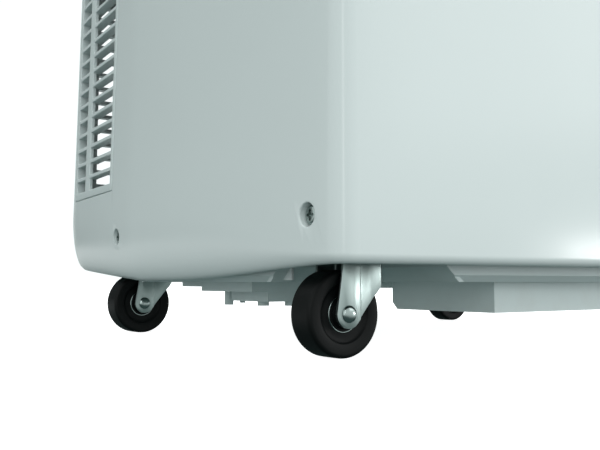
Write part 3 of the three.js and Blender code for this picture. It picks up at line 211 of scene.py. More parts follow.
def mirrored(stations):
    return [Station(-s.x, s.y, -s.nx, s.ny) for s in reversed(stations)]


def right_front_half():
    """From the middle of the front round to the soft edge and on to the rear corner."""
    return [
        *along(CURVE_CROWN, 22, 0.5),
        *along(CURVE_CORNER, 12),
        *along(CURVE_SIDE, 26),
        *along(CURVE_REAR_SIDE, 16),
    ]


def taper(z):
    return max(0.0, (z - TAPER_START_Z) * TAPER)


def side_x(y, z):
    """Half-width of the housing on its outer face, at a place along a side."""
    if y > SIDE_END[1]:
        t = 1 - math.sqrt(max(0.0, 1 - (y - SIDE_END[1]) / REAR_CORNER))
        return CURVE_REAR_CORNER(t).x - taper(z)
    curve = CURVE_SIDE if y < SOFT_EDGE_Y else CURVE_REAR_SIDE
    start, end = curve(0).y, curve(1).y
    return curve(min(1.0, max(0.0, (y - start) / (end - start)))).x - taper(z)


def smooth_share(t):
    t = min(1.0, max(0.0, t))
    return t * t * (3 - 2 * t)


def forwardness(y):
    """0 at the soft edge, 1 at the front corner."""
    share = min(1.0, max(0.0, (SOFT_EDGE_Y - y) / (SOFT_EDGE_Y - CORNER_Y)))
    return smooth_share(share**1.5)


def lip_z(y):
    if y <= SOFT_EDGE_Y:
        return LIP_LOW_Z + (LIP_FRONT_Z - LIP_LOW_Z) * forwardness(y)
    past = max(0.0, y - (REAR_Y - 34))
    return LIP_LOW_Z + 0.07 * (y - SOFT_EDGE_Y) + 0.005 * past * past


def side_place(side):
    """Where a point (y, z) at a depth below the outer face of a side lies."""
    return lambda y, z, depth: (side * (side_x(y, z) - depth), y, z)


def rear_place(x, z, depth):
    return (x, REAR_Y - taper(z) - depth, z)


def top_place(level):
    return lambda x, y, depth: (x, y, level - depth)


# ---- Mesh work ----


def mesh_piece(name, points, faces, smooth_angle=35):
    """A mesh object from points in millimetres, shaded smooth except over sharp edges."""
    mesh = bpy.data.meshes.new(name)
    mesh.from_pydata([(x * MM, y * MM, z * MM) for x, y, z in points], [], faces)
    mesh.validate()
    obj = bpy.data.objects.new(name, mesh)
    bpy.context.scene.collection.objects.link(obj)
    tidy_mesh(obj, smooth_angle)
    return obj


def tidy_mesh(obj, smooth_angle=35, merge=0.005):
    bm = bmesh.new()
    bm.from_mesh(obj.data)
    bmesh.ops.remove_doubles(bm, verts=bm.verts, dist=merge * MM)
    bmesh.ops.dissolve_degenerate(bm, edges=bm.edges, dist=1e-7)
    bmesh.ops.recalc_face_normals(bm, faces=bm.faces)
    bm.to_mesh(obj.data)
    bm.free()
    shade(obj, smooth_angle)


def shade(obj, angle=35):
    mesh = obj.data
    mesh.polygons.foreach_set("use_smooth", [True] * len(mesh.polygons))
    mesh.set_sharp_from_angle(angle=math.radians(angle))


def ringed(name, rings, capped=True):
    """Skins closed rings of equal point counts, with a flat cap at both ends."""
    count = len(rings[0])
    points = [p for ring in rings for p in ring]
    faces = []
    for k in range(len(rings) - 1):
        for i in range(count):
            j = (i + 1) % count
            faces.append((k * count + i, k * count + j, (k + 1) * count + j, (k + 1) * count + i))
    if capped:
        faces.append(tuple(range(count)))
        faces.append(tuple((len(rings) - 1) * count + i for i in reversed(range(count))))
    return mesh_piece(name, points, faces)


def turned(name, profile, sides=64, axis="z", origin=(0, 0, 0), closed=True):
    """A lathe piece. The profile lists (radius, height); radius 0 makes a point on the axis."""
    lowest = 0.02
    rings = []
    for radius, height in profile:
        ring = []
        for i in range(sides):
            turn = TAU * i / sides
            c, s = max(radius, lowest) * math.cos(turn), max(radius, lowest) * math.sin(turn)
            spot = {"z": (c, s, height), "y": (c, height, s), "x": (height, c, s)}[axis]
            ring.append(tuple(a + b for a, b in zip(spot, origin)))
        rings.append(ring)
    if closed:
        rings.append(rings[0])
    return ringed(name, rings, capped=not closed)


def rounded(u0, u1, v0, v1, radius, steps=5):
    """A rounded rectangle as a function that gives its outline grown by an amount."""

    def outline(grow=0.0):
        r = max(0.05, radius + grow)
        points = []
        for cu, cv, start in (
            (u1 + grow - r, v1 + grow - r, 0),
            (u0 - grow + r, v1 + grow - r, 1),
            (u0 - grow + r, v0 - grow + r, 2),
            (u1 + grow - r, v0 - grow + r, 3),
        ):
            for k in range(steps + 1):
                turn = (start + k / steps) * TAU / 4
                points.append((cu + r * math.cos(turn), cv + r * math.sin(turn)))
        return points

    return outline


def disc(u, v, radius, sides=48):
    def outline(grow=0.0):
        r = radius + grow
        return [(u + r * math.cos(TAU * i / sides), v + r * math.sin(TAU * i / sides)) for i in range(sides)]

    return outline


def plug(name, outline, profile, place):
    """Rings of one outline at (grow, depth) steps below a face, closed at both ends."""
    return ringed(name, [[place(u, v, depth) for u, v in outline(grow)] for grow, depth in profile])


def flared(deep, rim=1.0, out=3.0, steps=4):
    """Steps of a cutter that leaves a rounded rim of that radius at the face."""
    turns = [TAU / 4 * k / steps for k in range(steps + 1)]
    curve = [(rim * (1 - math.sin(a)), rim * (1 - math.cos(a))) for a in turns]
    return [(rim, -out), *curve, (0, deep)]


def eased(distance, radius):
    """How far a rounded edge has fallen at a distance in from the edge."""
    if distance >= radius:
        return 0.0
    return radius - math.sqrt(radius**2 - (radius - distance) ** 2)


def spread(low, high, count, radius=0.8):
    """Even positions between two edges, with close ones at each edge for its rounding."""
    near = [0.0, 0.12 * radius, 0.4 * radius, radius]
    inner = [low + radius + (high - low - 2 * radius) * i / count for i in range(1, count)]
    return [low + d for d in near] + inner + [high - d for d in reversed(near)]


def slab(name, us, vs, place, thickness, radius=0.8):
    """A panel over a grid of positions whose outer edges are rounded."""
    front, back = [], []
    for u in us:
        for v in vs:
            fall = eased(min(u - us[0], us[-1] - u), radius) + eased(min(v - vs[0], vs[-1] - v), radius)
            front.append(place(u, v, min(fall, thickness * 0.6)))
            back.append(place(u, v, thickness))
    return skin(name, front, back, len(us), len(vs))


def skin(name, front, back, columns, rows):
    """Joins two grids of points, listed column by column, into one closed sheet."""
    total = columns * rows

    def at(side, i, j):
        return side * total + i * rows + j

    faces = []
    for i in range(columns - 1):
        for j in range(rows - 1):
            faces.append((at(0, i, j), at(0, i + 1, j), at(0, i + 1, j + 1), at(0, i, j + 1)))
            faces.append((at(1, i, j), at(1, i, j + 1), at(1, i + 1, j + 1), at(1, i + 1, j)))
    for i in range(columns - 1):
        for j in (0, rows - 1):
            faces.append((at(0, i, j), at(1, i, j), at(1, i + 1, j), at(0, i + 1, j)))
    for j in range(rows - 1):
        for i in (0, columns - 1):
            faces.append((at(0, i, j), at(0, i, j + 1), at(1, i, j + 1), at(1, i, j)))
    return mesh_piece(name, front + back, faces)


def merge(name, objects):
    """Puts several meshes into one object without changing their shapes."""
    bm = bmesh.new()
    for obj in objects:
        bm.from_mesh(obj.data)
    kept = objects[0]
    bm.to_mesh(kept.data)
    bm.free()
    for obj in objects[1:]:
        discard(obj)
    kept.name = name
    kept.data.name = name
    return kept


def discard(obj):
    mesh = obj.data
    bpy.data.objects.remove(obj)
    bpy.data.meshes.remove(mesh)


def carve(obj, operation, tool, smooth_angle=35):
    """One boolean with another mesh, which is used up."""
    modifier = obj.modifiers.new("carve", "BOOLEAN")
    modifier.operation = operation
    modifier.solver = "EXACT"
    modifier.object = tool
    settle(obj)
    discard(tool)
    tidy_mesh(obj, smooth_angle, merge=0.002)
    if len(obj.data.polygons) < 6:
        raise RuntimeError(f"{obj.name} was lost in a cut")
    return obj


def cut(obj, *tools):
    return carve(obj, "DIFFERENCE", merge("tool", list(tools)))


def join(obj, *tools):
    for tool in tools:
        carve(obj, "UNION", tool)
    return obj


def settle(obj):
    """Makes an object's modifiers part of its mesh."""
    graph = bpy.context.evaluated_depsgraph_get()
    mesh = bpy.data.meshes.new_from_object(obj.evaluated_get(graph))
    old = obj.data
    obj.modifiers.clear()
    obj.data = mesh
    bpy.data.meshes.remove(old)


def soften(obj, width, segments=2, angle=40):
    """Rounds the edges sharper than an angle, then shades the piece."""
    modifier = obj.modifiers.new("soften", "BEVEL")
    modifier.width = width * MM
    modifier.segments = segments
    modifier.limit_method = "ANGLE"
    modifier.angle_limit = math.radians(angle)
    modifier.harden_normals = False
    settle(obj)
    shade(obj, 50)
    return obj


def block(name, x0, x1, y0, y1, z0, z1, radius=0.6):
    """A small block with rounded upright edges and softened rims."""
    outline = rounded(x0, x1, y0, y1, radius, 3)
    lift = min(radius, (z1 - z0) / 3)
    steps = [(-lift, 0), (-0.3 * lift, 0.3 * lift), (0, lift), (0, z1 - z0 - lift)]
    steps += [(-0.3 * lift, z1 - z0 - 0.3 * lift), (-lift, z1 - z0)]
    return plug(name, outline, steps, top_place(z1))


def move(obj, x=0.0, y=0.0, z=0.0):
    obj.data.transform(Matrix.Translation((x * MM, y * MM, z * MM)))
    return obj


def finish_piece(obj, body, slot, finish, *nodes):
    """Gives a piece its material and its body, and hides the nodes that it stands for; its slot is not used.
    """
    if isinstance(finish, str):
        finish = [finish]
    obj.data.materials.clear()
    for name in finish:
        obj.data.materials.append(material(name))
    if nodes:
        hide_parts(*nodes)
    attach(obj, body)
    return obj


# ---- Materials ----


class Value:
    """A value socket that takes arithmetic. Each operation adds one Math node."""

    def __init__(self, maker, socket):
        self.maker = maker
        self.socket = socket

    def _math(self, operation, *operands):
        node = self.maker.node("ShaderNodeMath", {"operation": operation}, dict(enumerate(operands)))
        return Value(self.maker, node.outputs[0])

    def __add__(self, other):
        return self._math("ADD", self, other)

    def __sub__(self, other):
        return self._math("SUBTRACT", self, other)

    def __rsub__(self, other):
        return self._math("SUBTRACT", other, self)

    def __mul__(self, other):
        return self._math("MULTIPLY", self, other)

    def sine(self):
        return self._math("SINE", self)

    __radd__ = __add__
    __rmul__ = __mul__


class Nodes:
    """A node tree and the one way in which nodes are added to it."""

    def __init__(self, tree):
        self.tree = tree

    def feed(self, socket, value):
        if isinstance(value, Value):
            value = value.socket
        if isinstance(value, bpy.types.NodeSocket):
            self.tree.links.new(value, socket)
        elif socket.type == "RGBA" and len(value) == 3:
            socket.default_value = (*value, 1.0)
        else:
            socket.default_value = value

    def node(self, kind, settings=None, sockets=None):
        """One node: its type, then its settings, then the values or links of its sockets."""
        node = self.tree.nodes.new(kind)
        for key, value in (settings or {}).items():
            setattr(node, key, value)
        for key, value in (sockets or {}).items():
            self.feed(node.inputs[key], value)
        return node

    def mix(self, factor, first, second):
        settings = {"data_type": "RGBA"}
        return self.node("ShaderNodeMix", settings, {0: factor, 6: first, 7: second}).outputs[2]


class Maker(Nodes):
    """A material and the few ways in which this object's finishes add nodes to it."""

    def __init__(self, name, constants=None):
        self.material = bpy.data.materials.new(name)
        self.material.use_nodes = True
        super().__init__(self.material.node_tree)
        self.shader = self.tree.nodes["Principled BSDF"]
        for key, value in (constants or {}).items():
            self.feed(self.shader.inputs[key], value)

    def place(self, scale=(1, 1, 1)):
        """The spot on the piece, in metres, stretched by a scale along each axis."""
        spot = self.node("ShaderNodeTexCoord").outputs["Object"]
        return self.node("ShaderNodeMapping", None, {"Vector": spot, "Scale": scale}).outputs[0]

    def noise(self, scale, detail=2.0, roughness=0.5, place=None):
        sockets = {"Vector": place or self.place(), "Scale": scale, "Detail": detail, "Roughness": roughness}
        return Value(self, self.node("ShaderNodeTexNoise", None, sockets).outputs[0])

    def cells(self, scale, feature="F1", output="Distance"):
        sockets = {"Vector": self.place(), "Scale": scale}
        node = self.node("ShaderNodeTexVoronoi", {"feature": feature}, sockets)
        return node.outputs[output]

    def axis(self, index):
        spot = self.node("ShaderNodeTexCoord").outputs["Object"]
        return Value(self, self.node("ShaderNodeSeparateXYZ", None, {0: spot}).outputs[index])

    def between(self, value, low, high):
        """A value from 0 to 1 between two thresholds."""
        sockets = {"Value": value, "From Min": low, "From Max": high}
        return Value(self, self.node("ShaderNodeMapRange", {"clamp": True}, sockets).outputs[0])

    def bump(self, height, distance, strength=1.0):
        sockets = {"Height": height, "Distance": distance, "Strength": strength}
        self.feed(self.shader.inputs["Normal"], self.node("ShaderNodeBump", None, sockets).outputs[0])

    def paint(self, colour=None, roughness=None, coat=None, metal=None):
        for key, value in (
            ("Base Color", colour),
            ("Roughness", roughness),
            ("Coat Weight", coat),
            ("Metallic", metal),
        ):
            if value is not None:
                self.feed(self.shader.inputs[key], value)


def scaled(colour, factor):
    return tuple(min(1.0, c * factor) for c in colour)


def moulded(name, colour, roughness, grain, depth, mottle=0.03, dust=0.0, specular=0.5):
    """Injection-moulded plastic: faint cloudiness, a spark-eroded grain and handling marks."""
    m = Maker(name, {"Specular IOR Level": specular})
    cloud = m.noise(9, 3)
    shadeful = m.mix(cloud, scaled(colour, 1 - mottle), scaled(colour, 1 + mottle))
    if dust:
        low = 1 - m.between(m.axis(2), 0.0, 0.11)
        speckle = m.between(m.noise(60, 4), 0.45, 0.75)
        shadeful = m.mix(low * speckle * dust, shadeful, (0.42, 0.41, 0.38))
    marks = m.between(m.noise(26, 5, 0.7), 0.45, 0.8)
    m.paint(shadeful, roughness + marks * 0.06)
    m.bump(m.noise(grain, 2), depth * MM, 0.5)
    return m.material


def plated(name, colour, roughness, spangle=420):
    """Zinc-plated sheet: a very faint crystal pattern with cloudy patches."""
    m = Maker(name, {"Metallic": 1.0})
    crystal = m.cells(spangle, output="Color")
    grey = Value(m, m.node("ShaderNodeSeparateColor", None, {0: crystal}).outputs[0])
    tone = grey * 0.3 + m.noise(60, 3) * 0.7
    dull = m.between(m.noise(38, 5, 0.65), 0.5, 0.75)
    m.paint(m.mix(tone, scaled(colour, 0.95), colour), roughness + tone * 0.04 + dull * 0.05)
    m.bump(m.noise(900, 3), 0.01 * MM, 0.15)
    return m.material


def drawn(name, colour, dark, roughness, stretch, metal=1.0):
    """Drawn tube or brushed metal with tarnish in patches."""
    m = Maker(name)
    streak = m.noise(700, 3, place=m.place(stretch))
    tarnish = m.between(m.noise(22, 5, 0.7), 0.42, 0.72)
    rough = roughness + streak * 0.12 + tarnish * 0.1
    m.paint(m.mix(tarnish, colour, dark), rough, metal=metal - tarnish * 0.1)
    m.bump(streak, 0.03 * MM, 0.4)
    return m.material


def finned(name, colour):
    """Aluminium fin pack: upright fins 1.5 mm apart across the coil, with painted shade in the gaps between
    them.
    """
    m = Maker(name)
    wave = (m.axis(0) * (TAU / 0.0015)).sine()
    # The gaps between the fins are painted dark, at 0.28 of the metal's colour: painted shade, not a colour
    # of the aluminium.
    gap = m.between(wave, -0.9, 0.1)
    bent = m.between(m.noise(45, 4, 0.6), 0.55, 0.75)
    m.paint(m.mix(gap, scaled(colour, 0.28), m.mix(bent, colour, scaled(colour, 0.8))), 0.35 + bent * 0.25)
    m.feed(m.shader.inputs["Metallic"], 0.4 + gap * 0.5)
    m.bump(gap, 0.4 * MM, 0.8)
    return m.material


def black_plastic(name, colour, roughness, specular=0.5):
    """Hard black plastic or rubber with scuffs that catch the light."""
    m = Maker(name, {"Specular IOR Level": specular})
    scuff = m.between(m.noise(210, 6, 0.75), 0.52, 0.8)
    wear = m.between(m.noise(35, 3), 0.4, 0.8)
    m.paint(m.mix(scuff * wear * 0.4, colour, scaled(colour, 2.5)), roughness + scuff * 0.1)
    m.bump(m.noise(1400, 2) + scuff * 0.4, 0.04 * MM, 0.5)
    return m.material


def enamelled(name, colour):
    m = Maker(name)
    runs = m.noise(30, 2, place=m.place((1, 1, 0.3)))
    chips = m.between(m.noise(160, 6, 0.8), 0.72, 0.76)
    m.paint(m.mix(chips, scaled(colour, 1), (0.12, 0.10, 0.09)), 0.28 + runs * 0.2, coat=0.3 - chips * 0.3)
    m.bump(runs, 0.15 * MM, 0.4)
    return m.material


def glassy(name, colour):
    m = Maker(name)
    smear = m.between(m.noise(45, 5, 0.7), 0.5, 0.85)
    m.paint(m.mix(smear * 0.4, colour, scaled(colour, 2.2)), 0.06 + smear * 0.12, coat=1 - smear * 0.2)
    m.bump(m.noise(300, 1), 0.005 * MM, 0.2)
    return m.material


def glowing(name, colour):
    m = Maker(name, {"Emission Strength": 1.6})
    shimmer = m.noise(900, 2)
    glow = m.mix(shimmer, scaled(colour, 0.85), colour)
    m.feed(m.shader.inputs["Emission Color"], glow)
    m.paint(glow, 0.3 + shimmer * 0.1)
    return m.material


def settings():
    scene = bpy.context.scene
    return scene.cooler_housing, scene.cooler_casters, scene.cooler_studio


def material(name):
    """The finish of that name, made the first time that it is asked for."""
    made = bpy.data.materials.get("finish_" + name)
    if made:
        return made
    housing, casters, _ = settings()
    title = "finish_" + name
    gloss, satin = tuple(housing.gloss_colour), tuple(housing.satin_colour)
    grille, pan = tuple(housing.grille_colour), tuple(housing.pan_colour)
    metal, tread = tuple(casters.metal_colour), tuple(casters.tread_colour)
    makers = {
        "shell_gloss": lambda: moulded(title, gloss, 0.22, 260, 0.02, 0.012, specular=0.4),
        "shell_satin": lambda: moulded(title, satin, 0.36, 900, 0.03, 0.015, specular=0.4),
        "grille_plastic": lambda: moulded(title, grille, 0.42, 1100, 0.03, 0.02),
        "pan_plastic": lambda: moulded(title, pan, 0.55, 1300, 0.05, 0.03, 0.2),
        "inner_plastic": lambda: moulded(title, (0.26, 0.28, 0.29), 0.6, 900, 0.06, 0.06),
        "dark_plastic": lambda: moulded(title, (0.022, 0.024, 0.027), 0.38, 1200, 0.04, 0.08),
        "button_plastic": lambda: moulded(title, (0.55, 0.62, 0.61), 0.35, 1200, 0.02, 0.02),
        "zinc": lambda: plated(title, metal, 0.30),
        "rivet_steel": lambda: plated(title, scaled(metal, 0.8), 0.2, 700),
        "motor_steel": lambda: plated(title, (0.52, 0.54, 0.55), 0.32, 160),
        "caster_black": lambda: black_plastic(title, tread, 0.5, 0.15),
        "rubber_black": lambda: black_plastic(title, (0.02, 0.02, 0.021), 0.7),
        "filter_mesh": lambda: black_plastic(title, (0.035, 0.04, 0.045), 0.55),
        "compressor_black": lambda: enamelled(title, (0.012, 0.012, 0.014)),
        "coil_fins": lambda: finned(title, (0.62, 0.65, 0.67)),
        "copper_tube": lambda: drawn(title, (0.78, 0.39, 0.22), (0.33, 0.15, 0.09), 0.26, (1, 1, 0.05)),
        "screen": lambda: glassy(title, (0.008, 0.011, 0.014)),
        "digits": lambda: glowing(title, (0.55, 0.92, 1.0)),
        # Pale finish, lighter than the pan plastic, worn by the pocket ribs: a painted highlight so that they
        # read bright in the shade under the shell.
        "legend": lambda: moulded(title, (0.80, 0.83, 0.83), 0.4, 900, 0.01, 0.02),
    }
    return makers[name]()


# ---- Housing ----


def shell_column(station, top_z, extra, radius, roll_steps=9):
    """Outer and inner points of the shell at one place in plan, from its lip to its top seam."""
    forward = forwardness(station.y)
    depth = ROLL_SIDE[0] + (ROLL_FRONT[0] - ROLL_SIDE[0]) * forward
    height = ROLL_SIDE[1] + (ROLL_FRONT[1] - ROLL_SIDE[1]) * forward
    lip = lip_z(station.y)
    outer, inner = [], []

    def put(points, inset, z):
        points.append((station.x - station.nx * inset, station.y - station.ny * inset, z))

    for k in range(roll_steps + 1):
        turn = TAU / 4 * k / roll_steps
        s, c = math.sin(turn), math.cos(turn)
        put(outer, depth * (1 - s) + extra * s, lip + height * (1 - c))
        put(inner, depth - (depth - WALL) * s, lip + height - (height - WALL) * c)
    start = lip + height
    rows = 26
    for k in range(1, rows):
        z = start + (top_z - radius - start) * k / (rows - 1)
        put(outer, taper(z) + extra, z)
        put(inner, taper(z) + WALL, z)
    for fall in (0.4, 0.12, 0.0):
        z = top_z - fall * radius
        put(outer, taper(z) + max(extra, eased(fall * radius, radius)), z)
        put(inner, taper(z) + WALL, z)
    return outer, inner


def shell(name, stations, ends, radius):
    """A shell along stations. ends says whether the columns near each end are rounded over."""
    columns = []
    start, finish = stations[0], stations[-1]
    for s in stations:
        gap = min(math.hypot(s.x - start.x, s.y - start.y), math.hypot(s.x - finish.x, s.y - finish.y))
        extra = eased(gap, radius) if ends else 0.0
        columns.append(shell_column(s, SHELL_TOP_Z - SEAM, extra, radius))
    outer = [p for column in columns for p in column[0]]
    inner = [p for column in columns for p in column[1]]
    return skin(name, outer, inner, len(columns), len(columns[0][0]))


def split_stations(radius):
    """Places just ahead of the seam between the front and rear shells."""
    shares = [0.0]
    corner_length = 40.0
    for back in (radius, 0.4 * radius, 0.12 * radius, 0.0):
        shares.append(SPLIT_SHARE - back / corner_length)
    return [CURVE_REAR_CORNER(t) for t in shares]


class COOLER_OT_front_shell(bpy.types.Operator):
    """Build the front shell with its screw recesses, handle openings and grille notches"""

    bl_idname = "cooler.front_shell"
    bl_label = "Front shell"

    def execute(self, context):
        radius = context.scene.cooler_housing.edge_radius / MM
        right = right_front_half() + split_stations(radius)
        obj = shell("housing_front", mirrored(right[1:]) + right, True, radius)
        for side in (-1, 1):
            place = side_place(side)
            for y in SCREW_YS:
                steps = [(0, 1.5), (0, SCREW_RECESS + 2), (-1, SCREW_RECESS + 3)]
                cup = plug("cup", disc(y, SCREW_Z, 10.4, 40), steps, place)
                join(obj, cup)
        tools = []
        low, high = LOWER_Z - SEAM, grille_top(LOWER_Z, LOWER_ROWS) + SEAM
        for side in (-1, 1):
            place = side_place(side)
            for y in SCREW_YS:
                tools.append(plug("recess", disc(y, SCREW_Z, 6.6, 40), flared(SCREW_RECESS, 0.9), place))
                tools.append(plug("shank", disc(y, SCREW_Z, 2.3, 16), [(0, 4.5), (0, 16)], place))
            opening = rounded(*HANDLE, 13, 8)
            tools.append(plug("opening", opening, flared(12, 2.4), place))
            notch = rounded(SIDE_GRILLE_Y - SEAM, REAR_Y + 20, low, high, 1.2, 3)
            x_place = lambda y, z, depth, side=side: (side * (side_x(min(y, 205), z) - depth), y, z)
            tools.append(plug("notch", notch, flared(30, 0.6, 12), x_place))
        cut(obj, *tools)
        finish_piece(obj, "cabinet", "shell_gloss", "shell_gloss", "front_shell")
        return {"FINISHED"}


class COOLER_OT_rear_shell(bpy.types.Operator):
    """Build the rear shell with its grille windows and fitting holes"""

    bl_idname = "cooler.rear_shell"
    bl_label = "Rear shell"

    def execute(self, context):
        radius = context.scene.cooler_housing.edge_radius / MM
        edge = CURVE_REAR_CORNER(SPLIT_SHARE)
        right = [Station(edge.x, edge.y + SEAM + d, edge.nx, edge.ny) for d in (0, 0.1, 0.35, 0.8)]
        right += along(CURVE_REAR_CORNER, 14, SPLIT_SHARE + 0.06, 1.0)
        right += [Station(BACK_X - (2 * BACK_X) * i / 36, REAR_Y, 0, 1) for i in range(37)]
        left = [Station(-edge.x, edge.y + SEAM + d, -edge.nx, edge.ny) for d in (0.8, 0.35, 0.1, 0)]
        corner = mirrored(along(CURVE_REAR_CORNER, 14, SPLIT_SHARE + 0.06, 1.0))
        obj = shell("housing_rear", right + corner + left, True, radius)
        tools = []
        for half, z, rows in ((LOWER_HALF, LOWER_Z, LOWER_ROWS), (UPPER_HALF, UPPER_Z, UPPER_ROWS)):
            window = rounded(-half - SEAM, half + SEAM, z - SEAM, grille_top(z, rows) + SEAM, 1.2, 3)
            tools.append(plug("window", window, flared(12, 0.6, 6), rear_place))
        for (x, z), hole in ((EXHAUST, 71.5), (DRAIN, 11.0), (INLET, 9.5)):
            tools.append(plug("hole", disc(x, z, hole, 64), flared(12, 0.6, 6), rear_place))
        cut(obj, *tools)
        finish_piece(obj, "cabinet", "shell_satin", "shell_satin", "rear_shell")
        return {"FINISHED"}


def plan_ring(inset, z, stations):
    sx, sy = 1 - inset / HALF_WIDTH, 1 - 2 * inset / BODY_DEPTH
    return [(s.x * sx, s.y * sy, z) for s in stations]


def plan_stations():
    right = [
        *along(CURVE_CROWN, 14, 0.5),
        *along(CURVE_CORNER, 10),
        *along(CURVE_SIDE, 16),
        *along(CURVE_REAR_SIDE, 10),
        *along(CURVE_REAR_CORNER, 12),
        Station(BACK_X, REAR_Y, 0, 1),
        Station(0, REAR_Y, 0, 1),
    ]
    return right + mirrored(right[1:-1])


def dome(name, drop, radius, floor_z, rim=0.0):
    """The top cover as a solid, rounded over at its shoulder and at its seam."""
    stations = plan_stations()
    start = taper(SHELL_TOP_Z) + drop
    rings = []
    for fall in (0.0, 0.12, 0.4, 1.0) if rim else (0.0,):
        inset = start + eased(fall * rim, rim) if rim else start
        rings.append(plan_ring(inset, floor_z + fall * rim, stations))
    shoulder = BODY_HEIGHT - drop - radius
    steps = 14
    for k in range(steps + 1):
        turn = TAU / 4 * k / steps
        inset = start + radius * (1 - math.cos(turn))
        rings.append(plan_ring(inset, shoulder + radius * math.sin(turn), stations))
    return ringed(name, rings)


class COOLER_OT_top_cover(bpy.types.Operator):
    """Build the top cover with the outlet throat, the flap seat and the control well"""

    bl_idname = "cooler.top_cover"
    bl_label = "Top cover"

    def execute(self, context):
        rim = context.scene.cooler_housing.edge_radius / MM
        obj = dome("housing_top", 0, 24, SHELL_TOP_Z, rim)
        cut(obj, dome("hollow", WALL, 24 - WALL, SHELL_TOP_Z - 1))
        w = WALL
        x0, x1, y0, y1 = OUTLET
        a0, a1, b0, b1 = THROAT
        p0, p1, q0, q1 = PANEL
        join(
            obj,
            block("seat", x0 - w, x1 + w, y0 - w, y1 + w, FLAP_SEAT_Z - w, BODY_HEIGHT - 1, 2),
            block("throat", a0 - w, a1 + w, b0 - w, b1 + w, THROAT_Z, FLAP_SEAT_Z, 2),
            block("well", p0 - w, p1 + w, q0 - w, q1 + w, BODY_HEIGHT - 18, BODY_HEIGHT - 1, 2),
        )
        top = top_place(BODY_HEIGHT)
        # The duct and the seat overlap, and tools of one cut must not
        cut(obj, plug("duct", rounded(*THROAT, 4, 4), [(0, 3), (0, BODY_HEIGHT - THROAT_Z + 2)], top))
        cut(
            obj,
            plug("seat", rounded(*OUTLET, 3, 4), flared(BODY_HEIGHT - FLAP_SEAT_Z, 0.6, 2), top),
            plug("well", rounded(*PANEL, 3, 4), flared(15, 0.6, 2), top),
        )
        bar_y = (b0 + b1) / 2
        join(obj, block("bar", a0 - 1, a1 + 1, bar_y - 3, bar_y + 3, THROAT_Z, THROAT_Z + 3, 0.8))
        finish_piece(obj, "cabinet", "shell_satin", "shell_satin", "top_cover")
        return {"FINISHED"}


class COOLER_OT_handles(bpy.types.Operator):
    """Build the two lift cups in the sides"""

    bl_idname = "cooler.handles"
    bl_label = "Handle cups"

    def execute(self, context):
        y0, y1, z0, z1 = HANDLE
        for side, word in ((-1, "left"), (1, "right")):
            face = min(side_x(y0, z1), side_x(y1, z1)) - WALL - 1
            place = lambda y, z, depth, side=side, face=face: (side * (face - depth), y, z)
            inner = [(-9, 31), (-4, 30), (-1.2, 27.5), (0, 24), (0, 1), (0.4, 0.2), (1, 0)]
            outer = [(5.6, 0), (6, 0.4), (6, 3), (3, 3), (3, 26), (1, 31), (-3, 33.5), (-9, HANDLE_DEPTH)]
            cup = plug("lift_cup_" + word, rounded(*HANDLE, 12, 8), inner + outer, place)
            finish_piece(cup, "cabinet", "grille_plastic", "grille_plastic", "handle_cup_" + word)
        return {"FINISHED"}


# ---- Grilles and filters ----


def slot_tools(columns, z, rows, place, steps=None):
    """One cutter for each slot, flared where it meets the face so that each slat has a round nose."""
    rim = SLAT_NOSE
    steps = steps or flared(GRILLE_DEPTH + 3, rim, 2, 3)
    tools = []
    for row in range(rows):
        z0 = z + MARGIN + row * GRILLE_PITCH
        z1 = z0 + GRILLE_PITCH - SLAT
        for low, high in columns:
            outline = rounded(low + rim, high - rim, z0 + rim, z1 - rim, 0.6, 2)
            tools.append(plug("slot", outline, steps, place))
    return tools


def even_columns(half, count, mullion):
    pitch = (2 * half + mullion) / count
    return [(-half + i * pitch, -half + (i + 1) * pitch - mullion) for i in range(count)]


class COOLER_OT_side_grilles(bpy.types.Operator):
    """Build the slatted grilles of the two sides"""

    bl_idname = "cooler.side_grilles"
    bl_label = "Side grilles"

    def execute(self, context):
        radius = context.scene.cooler_housing.edge_radius / MM
        top = grille_top(LOWER_Z, LOWER_ROWS)
        end = CURVE_REAR_CORNER(SPLIT_SHARE).y - 3 * SEAM
        for side, word in ((-1, "left"), (1, "right")):
            place = side_place(side)
            us = spread(SIDE_GRILLE_Y, end, 20, radius)
            obj = slab("intake_" + word, us, spread(LOWER_Z, top, 30, radius), place, GRILLE_DEPTH, radius)
            cut(obj, *slot_tools(SIDE_CELLS, LOWER_Z, LOWER_ROWS, place))
            gap = [(SIDE_CELLS[0][1] - 1, SIDE_CELLS[1][0] + 1)]
            steps = [(0, MULLION_DEPTH), (0, GRILLE_DEPTH + 3)]
            cut(obj, *slot_tools(gap, LOWER_Z, LOWER_ROWS, place, steps))
            finish_piece(obj, "cabinet", "grille_plastic", "grille_plastic", "side_grille_" + word)
        return {"FINISHED"}


class COOLER_OT_rear_grilles(bpy.types.Operator):
    """Build the two rear grilles, which lift off with their filters"""

    bl_idname = "cooler.rear_grilles"
    bl_label = "Rear grilles"

    def execute(self, context):
        radius = context.scene.cooler_housing.edge_radius / MM
        rows = (
            ("lower", LOWER_HALF, LOWER_Z, LOWER_ROWS, 8),
            ("upper", UPPER_HALF, UPPER_Z, UPPER_ROWS, 6),
        )
        for word, half, z, count, columns in rows:
            vs = spread(z, grille_top(z, count), 4, radius)
            us = spread(-half, half, 6, radius)
            obj = slab("intake_grille_" + word, us, vs, rear_place, GRILLE_DEPTH, radius)
            cells = even_columns(half - 4, columns, 6)
            cut(obj, *slot_tools(cells, z, count, rear_place))
            pull = rounded(-24, 24, z + 1.2, z + 4.8, 1.6, 4)
            tab = plug("tab", pull, [(-0.4, -1.2), (0, -0.8), (0, 1)], rear_place)
            join(obj, tab)
            body = word + "_intake"
            finish_piece(obj, body, "grille_plastic", "grille_plastic", "rear_grille_" + word)
        return {"FINISHED"}


